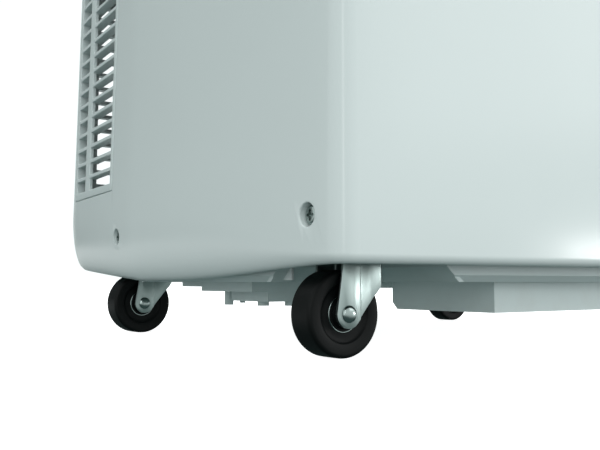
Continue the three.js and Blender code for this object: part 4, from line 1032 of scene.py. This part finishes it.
class COOLER_OT_filters(bpy.types.Operator):
    """Build the filter cassettes: a ribbed frame with a woven net"""

    bl_idname = "cooler.filters"
    bl_label = "Filters"

    def execute(self, context):
        rows = (("lower", 185, LOWER_Z, LOWER_ROWS, 4), ("upper", 176, UPPER_Z, UPPER_ROWS, 3))
        for word, half, z, count, columns in rows:
            top = grille_top(z, count)
            back = REAR_Y - taper(top) - GRILLE_DEPTH - 0.3
            z0, z1 = z + 4, top - 4
            place = lambda x, v, depth, back=back: (x, back - depth, v)
            obj = slab("filter_frame_" + word, spread(-half, half, 2), spread(z0, z1, 2), place, 5, 0.8)
            tools = []
            pitch = (z1 - 8 - (z0 + 8) + 3) / 3
            for row in range(3):
                low = z0 + 8 + row * pitch
                for a, b in even_columns(half - 8, columns, 3):
                    outline = rounded(a, b, low, low + pitch - 3, 3, 3)
                    tools.append(plug("cell", outline, [(0, -1), (0, 6)], place))
            cut(obj, *tools)
            finish_piece(obj, word + "_intake", "filter_mesh", "filter_mesh", word + "_filter")
            net = self.net("filter_net_" + word, half - 7, z0 + 7, z1 - 7, back - 2.5)
            finish_piece(net, word + "_intake", "filter_mesh", "filter_mesh")
        return {"FINISHED"}

    def net(self, name, half, z0, z1, y):
        """Upright and cross threads, one over the other."""
        thread = 0.25
        points, faces = [], []

        def strand(x0, x1, v0, v1, depth):
            base = len(points)
            for d in (depth, depth + thread):
                points.extend([(x0, d, v0), (x1, d, v0), (x1, d, v1), (x0, d, v1)])
            for face in ((0, 1, 2, 3), (7, 6, 5, 4), (0, 4, 5, 1), (1, 5, 6, 2), (2, 6, 7, 3), (3, 7, 4, 0)):
                faces.append(tuple(base + i for i in face))

        pitch = 2.4
        for i in range(int(2 * half / pitch)):
            x = -half + i * pitch
            strand(x, x + 2 * thread, z0, z1, y)
        for j in range(int((z1 - z0) / pitch)):
            z = z0 + j * pitch
            strand(-half, half, z, z + 2 * thread, y + thread + 0.02)
        return mesh_piece(name, points, faces)


# ---- Casters ----


def fork_pattern():
    """Outline of one ear, seen from the side: (x, z) from its back edge round to the bend."""
    ear_back = -26.0
    ear = []
    steps = 14
    for i in range(steps + 1):
        turn = math.pi + math.radians(141) * i / steps
        ear.append((-TRAIL + 8.25 * math.cos(turn), WHEEL_RADIUS + 8.25 * math.sin(turn)))
    return [(ear_back + 1.0, FORK_TOP_Z), (ear_back, 50.0), *ear, (-3.7, 33.6), (2.3, 43.4), (5.0, 45.5)]


def bend_fork(u, z, depth):
    """Takes the flat blank round the bend: u counts from the middle of the front wall."""
    half, front, radius = 13.0, 5.0, 4.0
    flat = half - radius
    arc = radius * TAU / 4
    sign = -1 if u < 0 else 1
    run = abs(u)
    if run <= flat:
        return (front - depth, sign * run, z)
    if run <= flat + arc:
        turn = (run - flat) / radius
        r = radius - depth
        return (front - radius + r * math.cos(turn), sign * (flat + r * math.sin(turn)), z)
    x = front - radius - (run - flat - arc)
    # The rivet's half of each ear stands proud of the rest by a pressed step.
    step = 0.9 * smooth_share((x + 13.6) / 1.3)
    return (x, sign * (half - depth - step), z)


def fork_mesh(name, sheet):
    half, front, radius = 13.0, 5.0, 4.0
    bend = half - radius + radius * TAU / 4
    pattern = fork_pattern()
    right = [(bend + (front - radius) - x if x < front - radius else half * 0.9, z) for x, z in pattern]
    edge = [(u, z) for u, z in right if u > half - radius]
    outline = [*edge, (half - radius, 45.5), (-(half - radius), 45.5), *[(-u, z) for u, z in reversed(edge)]]
    bm = bmesh.new()
    corners = [bm.verts.new((u, z, 0)) for u, z in outline]
    bm.faces.new(corners)
    cuts = [half - radius + radius * TAU / 4 * k / 6 for k in range(7)]
    ear_start = bend + front - radius
    cuts += [ear_start + 11.9 + 1.7 * k / 5 for k in range(6)]
    cuts += [ear_start + 6, ear_start + 18, ear_start + 22]
    for u in sorted(set(cuts)):
        for sign in (-1, 1):
            geometry = bm.verts[:] + bm.edges[:] + bm.faces[:]
            bmesh.ops.bisect_plane(
                bm, geom=geometry, plane_co=(sign * u, 0, 0), plane_no=(1, 0, 0), dist=1e-5
            )
    bmesh.ops.triangulate(bm, faces=[f for f in bm.faces if len(f.verts) > 4])
    flat = bmesh.ops.extrude_face_region(bm, geom=bm.faces[:])
    for v in flat["geom"]:
        if isinstance(v, bmesh.types.BMVert):
            v.co.z = sheet
    for v in bm.verts:
        v.co = Vector(bend_fork(v.co.x, v.co.y, v.co.z)) * MM
    bmesh.ops.recalc_face_normals(bm, faces=bm.faces)
    mesh = bpy.data.meshes.new(name)
    bm.to_mesh(mesh)
    bm.free()
    obj = bpy.data.objects.new(name, mesh)
    bpy.context.scene.collection.objects.link(obj)
    return soften(obj, 0.3, 2, 60)


class COOLER_OT_casters(bpy.types.Operator):
    """Build the four casters: plate, pressed fork with rivets, and wheel"""

    bl_idname = "cooler.casters"
    bl_label = "Casters"

    def execute(self, context):
        sheet = context.scene.cooler_casters.sheet / MM
        for word, (x, y) in CASTERS.items():
            ears = fork_mesh("fork_" + word, sheet)
            move(ears, x, y)
            finish_piece(ears, "caster_fork_" + word, "zinc", "zinc", "caster_fork_" + word)
            crown = self.crown("fork_crown_" + word, x, y)
            finish_piece(crown, "caster_fork_" + word, "zinc", "zinc")
            for sign, part in ((-1, "outer"), (1, "inner")):
                rivet = self.rivet(f"rivet_{part}_{word}", x - TRAIL, y, sign)
                finish_piece(rivet, "caster_fork_" + word, "zinc", "rivet_steel")
            plate = self.plate("swivel_plate_" + word, x, y)
            finish_piece(plate, "cabinet", "zinc", "zinc", "caster_plate_" + word)
            wheel = self.wheel("wheel_" + word, x - TRAIL, y)
            body = "caster_wheel_" + word
            finish_piece(wheel, body, "caster_black", "caster_black", body)
            for sign, part in ((-1, "outer"), (1, "inner")):
                ring = self.hub_ring(f"hub_ring_{part}_{word}", x - TRAIL, y, sign)
                finish_piece(ring, "caster_wheel_" + word, "zinc", "rivet_steel")
        return {"FINISHED"}

    def crown(self, name, x, y):
        """The fork's top: a flat pressed between the ears, and a raised ring for the balls."""
        place = top_place(FORK_TOP_Z)
        outline = rounded(x - 25, x + 4.6, y - 12.6, y + 12.6, 3, 5)
        flat = plug(name, outline, [(-0.4, 0), (0, 0.4), (0, 2), (-0.3, 2.4)], place)
        ring = plug("ring", disc(x, y, 17, 56), [(-1, 0), (0, 0.8), (0, 2), (-0.6, 2.6)], place)
        return join(flat, ring)

    def rivet(self, name, x, y, sign):
        profile = [(0, 0), (4.3, 0), (4.9, 0.35), (4.7, 0.9), (3.9, 1.55), (2.7, 1.95), (1.5, 2.15), (0, 2.2)]
        points = [(r, sign * (12.95 + h)) for r, h in profile]
        return turned(name, points, 40, "y", (x, y, WHEEL_RADIUS), False)

    def plate(self, name, x, y):
        z = 69.7
        plate = plug(
            name,
            rounded(x - 30, x + 30, y - 26, y + 26, 5, 5),
            [(-0.3, 0), (0, 0.3), (0, 2.2), (-0.3, 2.5)],
            top_place(z),
        )
        dish = [(0, 1), (0, 4.6), (-0.8, 5.8), (-3, 7.6), (-4, 8.5)]
        race = plug("race", disc(x, y, 21, 56), dish, top_place(z))
        bolts = [(sx * 24, sy * 20) for sx in (-1, 1) for sy in (-1, 1)]
        join(plate, race)
        heads = [
            plug("head", disc(x + bx, y + by, 3.6, 6), [(0, 2), (0, 4.2), (-0.5, 4.8)], top_place(z))
            for bx, by in bolts
        ]
        return join(plate, *heads)

    def wheel(self, name, x, y):
        """Tread with a soft shoulder, a stepped recess in each side and a raised hub."""
        half, r = 9.5, WHEEL_RADIUS
        side = [
            (4.45, half + 0.9), (7.2, half + 0.9), (7.9, half + 0.6), (8.2, half - 0.4), (8.6, half - 1.8),
            (10.2, half - 2.1), (13.6, half - 2.2), (15.6, half - 2.0), (16.4, half - 1.4),
            (17.0, half - 0.6), (18.2, half - 0.25), (20.4, half - 0.1), (22.6, half), (23.3, half - 0.1),
            (24.2, half - 0.5),
            (24.75, half - 1.0), (24.95, half - 1.6),
        ]
        tread = [(r - 0.02, 6), (r, 0), (r - 0.02, -6)]
        profile = side + tread + [(a, -b) for a, b in reversed(side)]
        return turned(name, profile, 96, "y", (x, y, WHEEL_RADIUS))

    def hub_ring(self, name, x, y, sign):
        """The thin bright rim of the hub's bearing cover."""
        inner, outer = 9.9, 10.6
        rows = [
            (inner, 6.8), (inner, 7.75), (inner + 0.2, 7.95),
            (outer - 0.2, 7.95), (outer, 7.75), (outer, 6.8),
        ]
        return turned(name, [(a, sign * b) for a, b in rows], 72, "y", (x, y, WHEEL_RADIUS))


class COOLER_OT_screws(bpy.types.Operator):
    """Build the four cross-head screws that hold the shell to the base pan"""

    bl_idname = "cooler.screws"
    bl_label = "Housing screws"

    def execute(self, context):
        number = 0
        for side in (-1, 1):
            for y in SCREW_YS:
                number += 1
                face = side_x(y, SCREW_Z)
                place = lambda u, v, depth, side=side, face=face: (side * (face - depth), u, v)
                head_steps = [(-5, 2.25), (-2.8, 2.3), (-1.3, 2.55), (-0.35, 3.2), (0, 4), (0, 5.2)]
                screw = plug("shell_screw", disc(y, SCREW_Z, 5.8, 40), head_steps, place)
                shank = plug("shank", disc(y, SCREW_Z, 2, 20), [(0, 4.6), (0, 19), (-1.8, 21)], place)
                join(screw, shank)
                for a, b in ((3.2, 0.6), (0.6, 3.2)):
                    outline = rounded(y - a, y + a, SCREW_Z - b, SCREW_Z + b, 0.3, 2)
                    cut(screw, plug("cross", outline, [(0.3, 1), (0, 3), (-0.25, 4.2)], place))
                screw.name = f"shell_screw_{number}"
                finish_piece(screw, "cabinet", "zinc", "rivet_steel", f"housing_screw_{number}")
        return {"FINISHED"}


# ---- Rear fittings ----


class COOLER_OT_rear_fittings(bpy.types.Operator):
    """Build the exhaust collar, the drain with its cap and the cord inlet"""

    bl_idname = "cooler.rear_fittings"
    bl_label = "Rear fittings"

    def execute(self, context):
        x, z = EXHAUST
        b = EXHAUST_BORE
        flange = REAR_Y - taper(z) + 2
        profile = [
            (b, 225), (b + 0.6, 225), (b + 2.4, 224.9), (b + 3.5, 224.3), (b + 4, 223.3), (b + 4, flange + 3),
            (b + 11.4, flange + 3), (b + 12, flange + 2.4), (b + 12, flange), (b + 4, flange),
            (b + 4, 208.8), (b, 208.8),
        ]
        collar = turned("hose_collar", profile, 96, "y", (x, 0, z))
        lugs = []
        for turn in (45, 165, 285):
            c, s = math.cos(math.radians(turn)), math.sin(math.radians(turn))
            lx, lz = x + (b - 1.2) * c, z + (b - 1.2) * s
            stud = [(0, 214), (2.4, 214), (2.4, 222.6), (2.0, 223), (0, 223)]
            lugs.append(turned("lug", stud, 20, "y", (lx, 0, lz), False))
        join(collar, *lugs)
        finish_piece(collar, "cabinet", "grille_plastic", "grille_plastic", "exhaust_collar")

        x, z = DRAIN
        pan_rear = REAR_Y * (1 - 2 * 16 / BODY_DEPTH)
        spout = [
            (6, pan_rear - 6), (9, pan_rear - 6), (9, pan_rear + 0.3), (13, pan_rear + 0.3),
            (13, pan_rear + 4.3), (9, pan_rear + 4.6), (9, 217.6), (8.6, 218), (6.4, 218), (6, 217.6),
        ]
        drain = turned("drain_pipe", spout, 48, "y", (x, 0, z))
        finish_piece(drain, "cabinet", "grille_plastic", "grille_plastic", "drain_spout")
        cap = [
            (0, 205), (4.6, 205), (5.5, 206), (5.5, 219.3), (11.6, 219.3), (12, 219.8), (11.9, 221.5),
            (10.9, 223.4), (9.9, 224.1), (8.6, 224.3), (7.6, 224.0), (6.9, 223.2), (5.8, 222.8), (0, 222.7),
        ]
        plug_piece = turned("drain_plug", cap, 56, "y", (x, 0, z), False)
        grip = plug("grip", rounded(x - 1.3, x + 1.3, z - 7.6, z + 7.6, 1.2, 4),
                    [(-0.5, -5.2), (0, -4.7), (0, -3)], lambda u, v, d: (u, REAR_Y - d, v))
        join(plug_piece, grip)
        finish_piece(plug_piece, "drain_cap", "rubber_black", "rubber_black", "drain_cap")

        x, z = INLET
        gland = [
            (4, 205), (9, 205), (9, 219.3), (11.6, 219.3), (12, 219.9), (11.5, 221.6), (10.8, 222.2),
            (7.2, 222.3), (5.4, 221.8), (4.4, 220.8), (4, 219.4),
        ]
        inlet = turned("cord_gland", gland, 56, "y", (x, 0, z))
        finish_piece(inlet, "cabinet", "dark_plastic", "dark_plastic", "power_inlet")
        return {"FINISHED"}


# ---- Outlet and controls ----


class COOLER_OT_outlet(bpy.types.Operator):
    """Build the discharge flap with its hinge barrel, and the three upright vanes"""

    bl_idname = "cooler.outlet"
    bl_label = "Outlet"

    def execute(self, context):
        top = BODY_HEIGHT - 0.3
        hinge_y = OUTLET[3] - 4
        hinge_z = BODY_HEIGHT - 2.5
        outline = rounded(OUTLET[0] + 1, OUTLET[1] - 1, OUTLET[2] + 1, hinge_y, 2.5, 5)
        edge = [(-0.9, 0), (-0.35, 0.12), (-0.08, 0.4), (0, 0.9), (0, 3.7), (-0.3, 4)]
        flap = plug("outlet_flap", outline, edge, top_place(top))
        rod = [(0, -169), (1.7, -169), (2.1, -168.6), (2.1, 168.6), (1.7, 169), (0, 169)]
        barrel = turned("barrel", rod, 24, "x", (0, hinge_y, hinge_z), False)
        join(flap, barrel)
        grip = rounded(-32, 32, OUTLET[2] - 4, OUTLET[2] + 7, 5, 5)
        scoop = plug("scoop", grip, [(2.2, -2), (0.8, 0), (0, 0.5), (-1.6, 1.3)], top_place(top))
        cut(flap, scoop)
        finish_piece(flap, "discharge_flap", "shell_satin", "shell_satin", "discharge_flap")
        middle = (THROAT[2] + THROAT[3]) / 2
        for i, x in enumerate(VANE_X, 1):
            vane = self.vane("guide_vane", x, middle)
            rod = [(0, 743.3), (2.2, 743.3), (2.5, 743.7), (2.5, 777.6), (2.2, 778), (0, 778)]
            pin = turned("pin", rod, 28, "z", (x, middle, 0), False)
            join(vane, pin)
            vane.name = f"guide_vane_{i}"
            finish_piece(vane, f"louvre_vane_{i}", "grille_plastic", "grille_plastic", f"louvre_vane_{i}")
        return {"FINISHED"}

    def vane(self, name, x, y):
        """A thin blade with a fuller middle and a rounded leading edge."""
        half = []
        reach = 18.0
        for k in range(13):
            t = k / 12
            along_y = -reach + 2 * reach * t
            thick = 1.6 * math.sin(math.pi * min(1, 0.12 + 0.85 * t)) ** 0.6
            half.append((thick, along_y))
        outline = [(x + a, y + b) for a, b in half] + [(x - a, y + b) for a, b in reversed(half)]
        return plug(name, lambda grow: outline, [(0, 0), (0, 30.5)], top_place(776))


class COOLER_OT_controls(bpy.types.Operator):
    """Build the control panel, its display and its four buttons"""

    bl_idname = "cooler.controls"
    bl_label = "Controls"

    def execute(self, context):
        top = BODY_HEIGHT - 0.3
        x0, x1, y0, y1 = PANEL
        outline = rounded(x0 + SEAM, x1 - SEAM, y0 + SEAM, y1 - SEAM, 2.5, 5)
        panel = plug("panel_plate", outline, [(-0.5, 0), (-0.15, 0.15), (0, 0.5), (0, 4)], top_place(top))
        tools = [
            plug("hole", disc(x, PANEL_MIDDLE_Y, 8.4, 48), flared(6, 0.4, 1), top_place(top))
            for _, x in BUTTONS
        ]
        middle = PANEL_MIDDLE_Y
        window = rounded(-92, -28, middle - 16, middle + 16, 1.5, 4)
        tools.append(plug("window", window, [(0.3, -1), (0.3, 0), (0, 0.3), (0, 2)], top_place(top)))
        cut(panel, *tools)
        finish_piece(panel, "cabinet", "dark_plastic", "dark_plastic", "control_panel")
        glass = plug(
            "display_glass",
            rounded(-91.7, -28.3, middle - 15.7, middle + 15.7, 1.2, 4),
            [(-0.4, 0), (0, 0.3), (0, 1.7)],
            top_place(top),
        )
        finish_piece(glass, "cabinet", "screen", "screen", "display_window")
        digits = self.digits("display_digits", top, middle)
        finish_piece(digits, "cabinet", "screen", "digits")
        for name, x in BUTTONS:
            self.button(name, x)
        return {"FINISHED"}

    def digits(self, name, top, middle):
        """A two-figure reading in plain bars."""
        bars = {"a": (0, 1, 1), "b": (1, 0.5, 0), "c": (1, -0.5, 0), "d": (0, -1, 1), "e": (-1, -0.5, 0),
                "f": (-1, 0.5, 0), "g": (0, 0, 1)}
        width, height, thick = 4.2, 8.2, 1.2
        pieces = []
        for centre, lit in ((-68.0, "abged"), (-54.0, "fgbc")):
            for key in lit:
                bx, by, flat = bars[key]
                cx, cy = centre + bx * width, middle + by * height
                half_x, half_y = (width - 0.9, thick / 2) if flat else (thick / 2, height / 2 - 0.9)
                outline = rounded(cx - half_x, cx + half_x, cy - half_y, cy + half_y, 0.5, 2)
                pieces.append(plug("bar", outline, [(-0.1, -0.06), (0, -0.02), (0, 0.2)], top_place(top)))
        ring = [(1.0, 0.2), (1.8, 0.2), (1.8, 0.06), (1.0, 0.06)]
        degree = turned("degree", ring, 28, "z", (-44, middle + 7.4, top))
        move(degree, z=-0.1)
        return merge(name, pieces + [degree])

    def button(self, name, x):
        """A dished cap on a stem, with a raised sign on it."""
        y, top = PANEL_MIDDLE_Y, BODY_HEIGHT + 0.9
        profile = [
            (0, top - 8.9), (10, top - 8.9), (10, top - 7.3), (8, top - 7.3), (8, top - 0.9),
            (7.8, top - 0.4), (7.3, top - 0.1), (6.7, top), (5.8, top - 0.12), (4, top - 0.4),
            (0, top - 0.55),
        ]
        cap = turned("key_" + name, profile, 56, "z", (x, y, 0), False)
        finish_piece(cap, "button_" + name, "button_plastic", "button_plastic", "button_" + name)
        level = top - 0.28
        place = top_place(level)
        bar = lambda cx, cy, hx, hy: plug(
            "bar",
            rounded(x + cx - hx, x + cx + hx, y + cy - hy, y + cy + hy, 0.3, 2),
            [(-0.1, 0), (0, 0.1), (0, 0.6)],
            place,
        )
        if name == "power":
            sign = [self.arc(x, y, level, 2.9, 0.6), bar(0, 2.3, 0.35, 1.6)]
        elif name == "mode":
            sign = [bar(0, dy, 2.9, 0.35) for dy in (-2, 0, 2)]
        elif name == "cooler":
            sign = [bar(0, 0, 2.8, 0.4)]
        else:
            sign = [bar(0, 0, 2.8, 0.4), bar(0, 1.6, 0.4, 1.15), bar(0, -1.6, 0.4, 1.15)]
        legend = merge("sign_" + name, sign)
        finish_piece(legend, "button_" + name, "button_plastic", "dark_plastic")

    def arc(self, x, y, level, radius, width):
        """An open ring with its gap at the top."""
        rings = []
        steps = 30
        for i in range(steps + 1):
            turn = math.radians(125 + 290 * i / steps)
            c, s = math.cos(turn), math.sin(turn)
            a, b = radius - width / 2, radius + width / 2
            rings.append([(x + a * c, y + a * s, level - 0.6), (x + b * c, y + b * s, level - 0.6),
                          (x + b * c, y + b * s, level), (x + a * c, y + a * s, level)])
        return ringed("arc", rings)


# ---- Base and inner parts that the frame carries ----


def shading_group():
    """A shading step for carried parts: smooth, but sharp over edges past 32 degrees."""
    name = "soft_shading"
    made = bpy.data.node_groups.get(name)
    if made:
        return made
    group = bpy.data.node_groups.new(name, "GeometryNodeTree")
    group.interface.new_socket("Geometry", in_out="INPUT", socket_type="NodeSocketGeometry")
    group.interface.new_socket("Geometry", in_out="OUTPUT", socket_type="NodeSocketGeometry")
    n = Nodes(group)
    smooth = "GeometryNodeSetShadeSmooth"
    start = n.node("NodeGroupInput").outputs[0]
    angle = n.node("GeometryNodeInputMeshEdgeAngle").outputs["Unsigned Angle"]
    compare = {"data_type": "FLOAT", "operation": "LESS_THAN"}
    small = n.node("FunctionNodeCompare", compare, {0: angle, 1: math.radians(32)}).outputs[0]
    faces = n.node(smooth, {"domain": "FACE"}, {"Geometry": start}).outputs[0]
    edges = n.node(smooth, {"domain": "EDGE"}, {"Geometry": faces, "Shade Smooth": small}).outputs[0]
    n.node("NodeGroupOutput", None, {0: edges})
    return group


def carry(node, finish, bevel=0.6, segments=2):
    """Keeps a part of the frame, with its edges softened and a finish on it."""
    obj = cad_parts[node]
    obj.data.materials.clear()
    obj.data.materials.append(material(finish))
    if bevel:
        modifier = obj.modifiers.new("soften", "BEVEL")
        modifier.width = bevel * MM
        modifier.segments = segments
        modifier.limit_method = "ANGLE"
        modifier.angle_limit = math.radians(38)
    modifier = obj.modifiers.new("shading", "NODES")
    modifier.node_group = shading_group()
    return obj


class COOLER_OT_base(bpy.types.Operator):
    """Finish the base pan and add its stiffening ribs"""

    bl_idname = "cooler.base"
    bl_label = "Base pan"

    def execute(self, context):
        carry("base_pan", "pan_plastic", 0.9, 3)
        ribs = []
        for sign in (-1, 1):
            for x in (60, 98, 128):
                ribs.append(block("rib", sign * x - 1, sign * x + 1, -96, 186, 38.5, 43.6, 0.8))
        for y in (-60, 40, 120, 176):
            ribs.append(block("rib", -127, 127, y - 1, y + 1, 38.5, 43.6, 0.8))
        grid = ribs[0]
        join(grid, *ribs[1:])
        grid.name = "base_ribs"
        finish_piece(grid, "cabinet", "pan_plastic", "pan_plastic")
        for sign, word in ((-1, "left"), (1, "right")):
            rib = block("pocket_rib_" + word, sign * 214 - 1, sign * 214 + 1, -135, -126, 44, 51.5, 0.5)
            # The pocket ribs take the pale finish: a painted highlight in place of the pan plastic's own
            # colour.
            finish_piece(rib, "cabinet", "pan_plastic", "legend")
        return {"FINISHED"}


class COOLER_OT_inner_parts(bpy.types.Operator):
    """Give the parts inside the housing their finishes"""

    bl_idname = "cooler.inner_parts"
    bl_label = "Inner parts"

    def execute(self, context):
        finishes = {
            "compressor_black": ("compressor",),
            "rubber_black": ("compressor_foot_1", "compressor_foot_2", "compressor_foot_3"),
            "coil_fins": ("condenser_coil", "evaporator_coil"),
            "copper_tube": ("suction_pipe", "discharge_pipe"),
            "inner_plastic": ("mid_partition", "evaporator_housing", "condenser_housing"),
            "motor_steel": (
                "evaporator_motor", "condenser_motor", "control_box", "run_capacitor", "flap_motor",
            ),
            "dark_plastic": ("evaporator_blower", "condenser_blower"),
        }
        for finish, nodes in finishes.items():
            for node in nodes:
                carry(node, finish, 0.0 if "coil" in node or "pipe" in node else 0.4)
        return {"FINISHED"}


# ---- Studio ----


def lamp(name, place, target, width, height, power):
    light = bpy.data.lights.new(name, "AREA")
    light.shape = "RECTANGLE"
    light.size, light.size_y = width, height
    light.energy = power
    obj = bpy.data.objects.new(name, light)
    obj.location = place
    obj.rotation_euler = (Vector(target) - Vector(place)).to_track_quat("-Z", "Y").to_euler()
    obj.visible_camera = False
    bpy.context.scene.collection.objects.link(obj)
    return obj


class COOLER_OT_stage(bpy.types.Operator):
    """Set up the camera, the pale floor, the white surround and the soft lights"""

    bl_idname = "cooler.stage"
    bl_label = "Studio"

    def execute(self, context):
        scene = context.scene
        studio = scene.cooler_studio
        camera = bpy.data.cameras.new("camera")
        camera.sensor_width = 36.0
        camera.lens = studio.focal_length
        camera.clip_start = 0.01
        eye = bpy.data.objects.new("camera", camera)
        eye.location = (-0.481, -0.5225, 0.0428)
        eye.rotation_euler = (math.radians(94.25), 0, math.radians(-35.1))
        scene.collection.objects.link(eye)
        scene.camera = eye
        scene.view_settings.view_transform = "Standard"
        self.floor()
        self.surround(scene, studio.sky)
        lamp("soft_box", (2.0, -2.3, 1.9), (0, 0, 0.3), 2.0, 2.4, studio.key_power)
        lamp("edge_strip", (-1.75, -1.9, 0.8), (-0.23, -0.2, 0.3), 0.12, 1.8, 7.0)
        lamp("low_fill", (1.5, -1.2, 0.06), (0.1, -0.2, 0.03), 0.5, 0.08, 3.0)
        self.flag()
        return {"FINISHED"}

    def floor(self):
        sides, reach = 64, 60000.0
        turns = [TAU * i / sides for i in range(sides)]
        ring = [(reach * math.cos(turn), reach * math.sin(turn), 0) for turn in turns]
        floor = mesh_piece("studio_floor", ring, [tuple(range(sides))])
        paint = {"Base Color": (0.9, 0.9, 0.9), "Roughness": 0.9, "Emission Strength": 0.93}
        m = Maker("studio_floor", paint)
        cloud = m.noise(2, 2)
        m.feed(m.shader.inputs["Emission Color"], m.mix(cloud, (0.97, 0.97, 0.97), (1, 1, 1)))
        floor.data.materials.append(m.material)
        floor.visible_diffuse = False
        floor.visible_glossy = False

    def surround(self, scene, strength):
        """White above and at the horizon, darker below so that undersides stay in shade."""
        world = bpy.data.worlds.new("surround")
        world.use_nodes = True
        scene.world = world
        n = Nodes(world.node_tree)
        spot = n.node("ShaderNodeTexCoord").outputs["Generated"]
        height = n.node("ShaderNodeSeparateXYZ", None, {0: spot}).outputs[2]
        sockets = {"Value": height, "From Min": -0.34, "From Max": -0.01}
        share = n.node("ShaderNodeMapRange", {"interpolation_type": "SMOOTHSTEP"}, sockets).outputs[0]
        background = world.node_tree.nodes["Background"]
        n.feed(background.inputs["Color"], n.mix(share, (0.07, 0.11, 0.108), (0.95, 1.0, 0.995)))
        n.feed(background.inputs["Strength"], strength)

    def flag(self):
        """A dark card behind and to the left, which the satin side mirrors as a shade."""
        corners = [(-1900, 1500, 0), (-300, 2500, 0), (-300, 2500, 1500), (-1900, 1500, 1500)]
        card = mesh_piece("studio_flag", corners, [(0, 1, 2, 3)])
        m = Maker("studio_flag", {"Specular IOR Level": 0.0})
        cloud = m.noise(2, 2)
        m.paint(m.mix(cloud, (0.10, 0.12, 0.12), (0.14, 0.16, 0.16)), 0.9 + cloud * 0.05)
        card.data.materials.append(m.material)
        card.visible_camera = False


# ---- Panel and registration ----

STEPS = (
    COOLER_OT_stage,
    COOLER_OT_front_shell,
    COOLER_OT_rear_shell,
    COOLER_OT_top_cover,
    COOLER_OT_handles,
    COOLER_OT_side_grilles,
    COOLER_OT_rear_grilles,
    COOLER_OT_filters,
    COOLER_OT_base,
    COOLER_OT_casters,
    COOLER_OT_screws,
    COOLER_OT_rear_fittings,
    COOLER_OT_outlet,
    COOLER_OT_controls,
    COOLER_OT_inner_parts,
)
GROUPS = (
    ("cooler_housing", HousingSettings),
    ("cooler_casters", CasterSettings),
    ("cooler_studio", StudioSettings),
)


class COOLER_PT_panel(bpy.types.Panel):
    """Sizes and colours of the air conditioner, and a button for each piece"""

    bl_idname = "COOLER_PT_panel"
    bl_label = "Portable air conditioner"
    bl_space_type = "VIEW_3D"
    bl_region_type = "UI"
    bl_category = "Cooler"

    def draw(self, context):
        for name, group in GROUPS:
            column = self.layout.column()
            for key in group.__annotations__:
                column.prop(getattr(context.scene, name), key)
        for step in STEPS:
            self.layout.operator(step.bl_idname)


CLASSES = (*(group for _, group in GROUPS), *STEPS, COOLER_PT_panel)


def register():
    for cls in CLASSES:
        bpy.utils.register_class(cls)
    for name, group in GROUPS:
        setattr(bpy.types.Scene, name, bpy.props.PointerProperty(type=group))


def unregister():
    for name, _ in GROUPS:
        delattr(bpy.types.Scene, name)
    for cls in reversed(CLASSES):
        bpy.utils.unregister_class(cls)


def main():
    register()
    for step in STEPS:
        group, name = step.bl_idname.split(".")
        getattr(getattr(bpy.ops, group), name)()


if __name__ == "__main__":
    main()
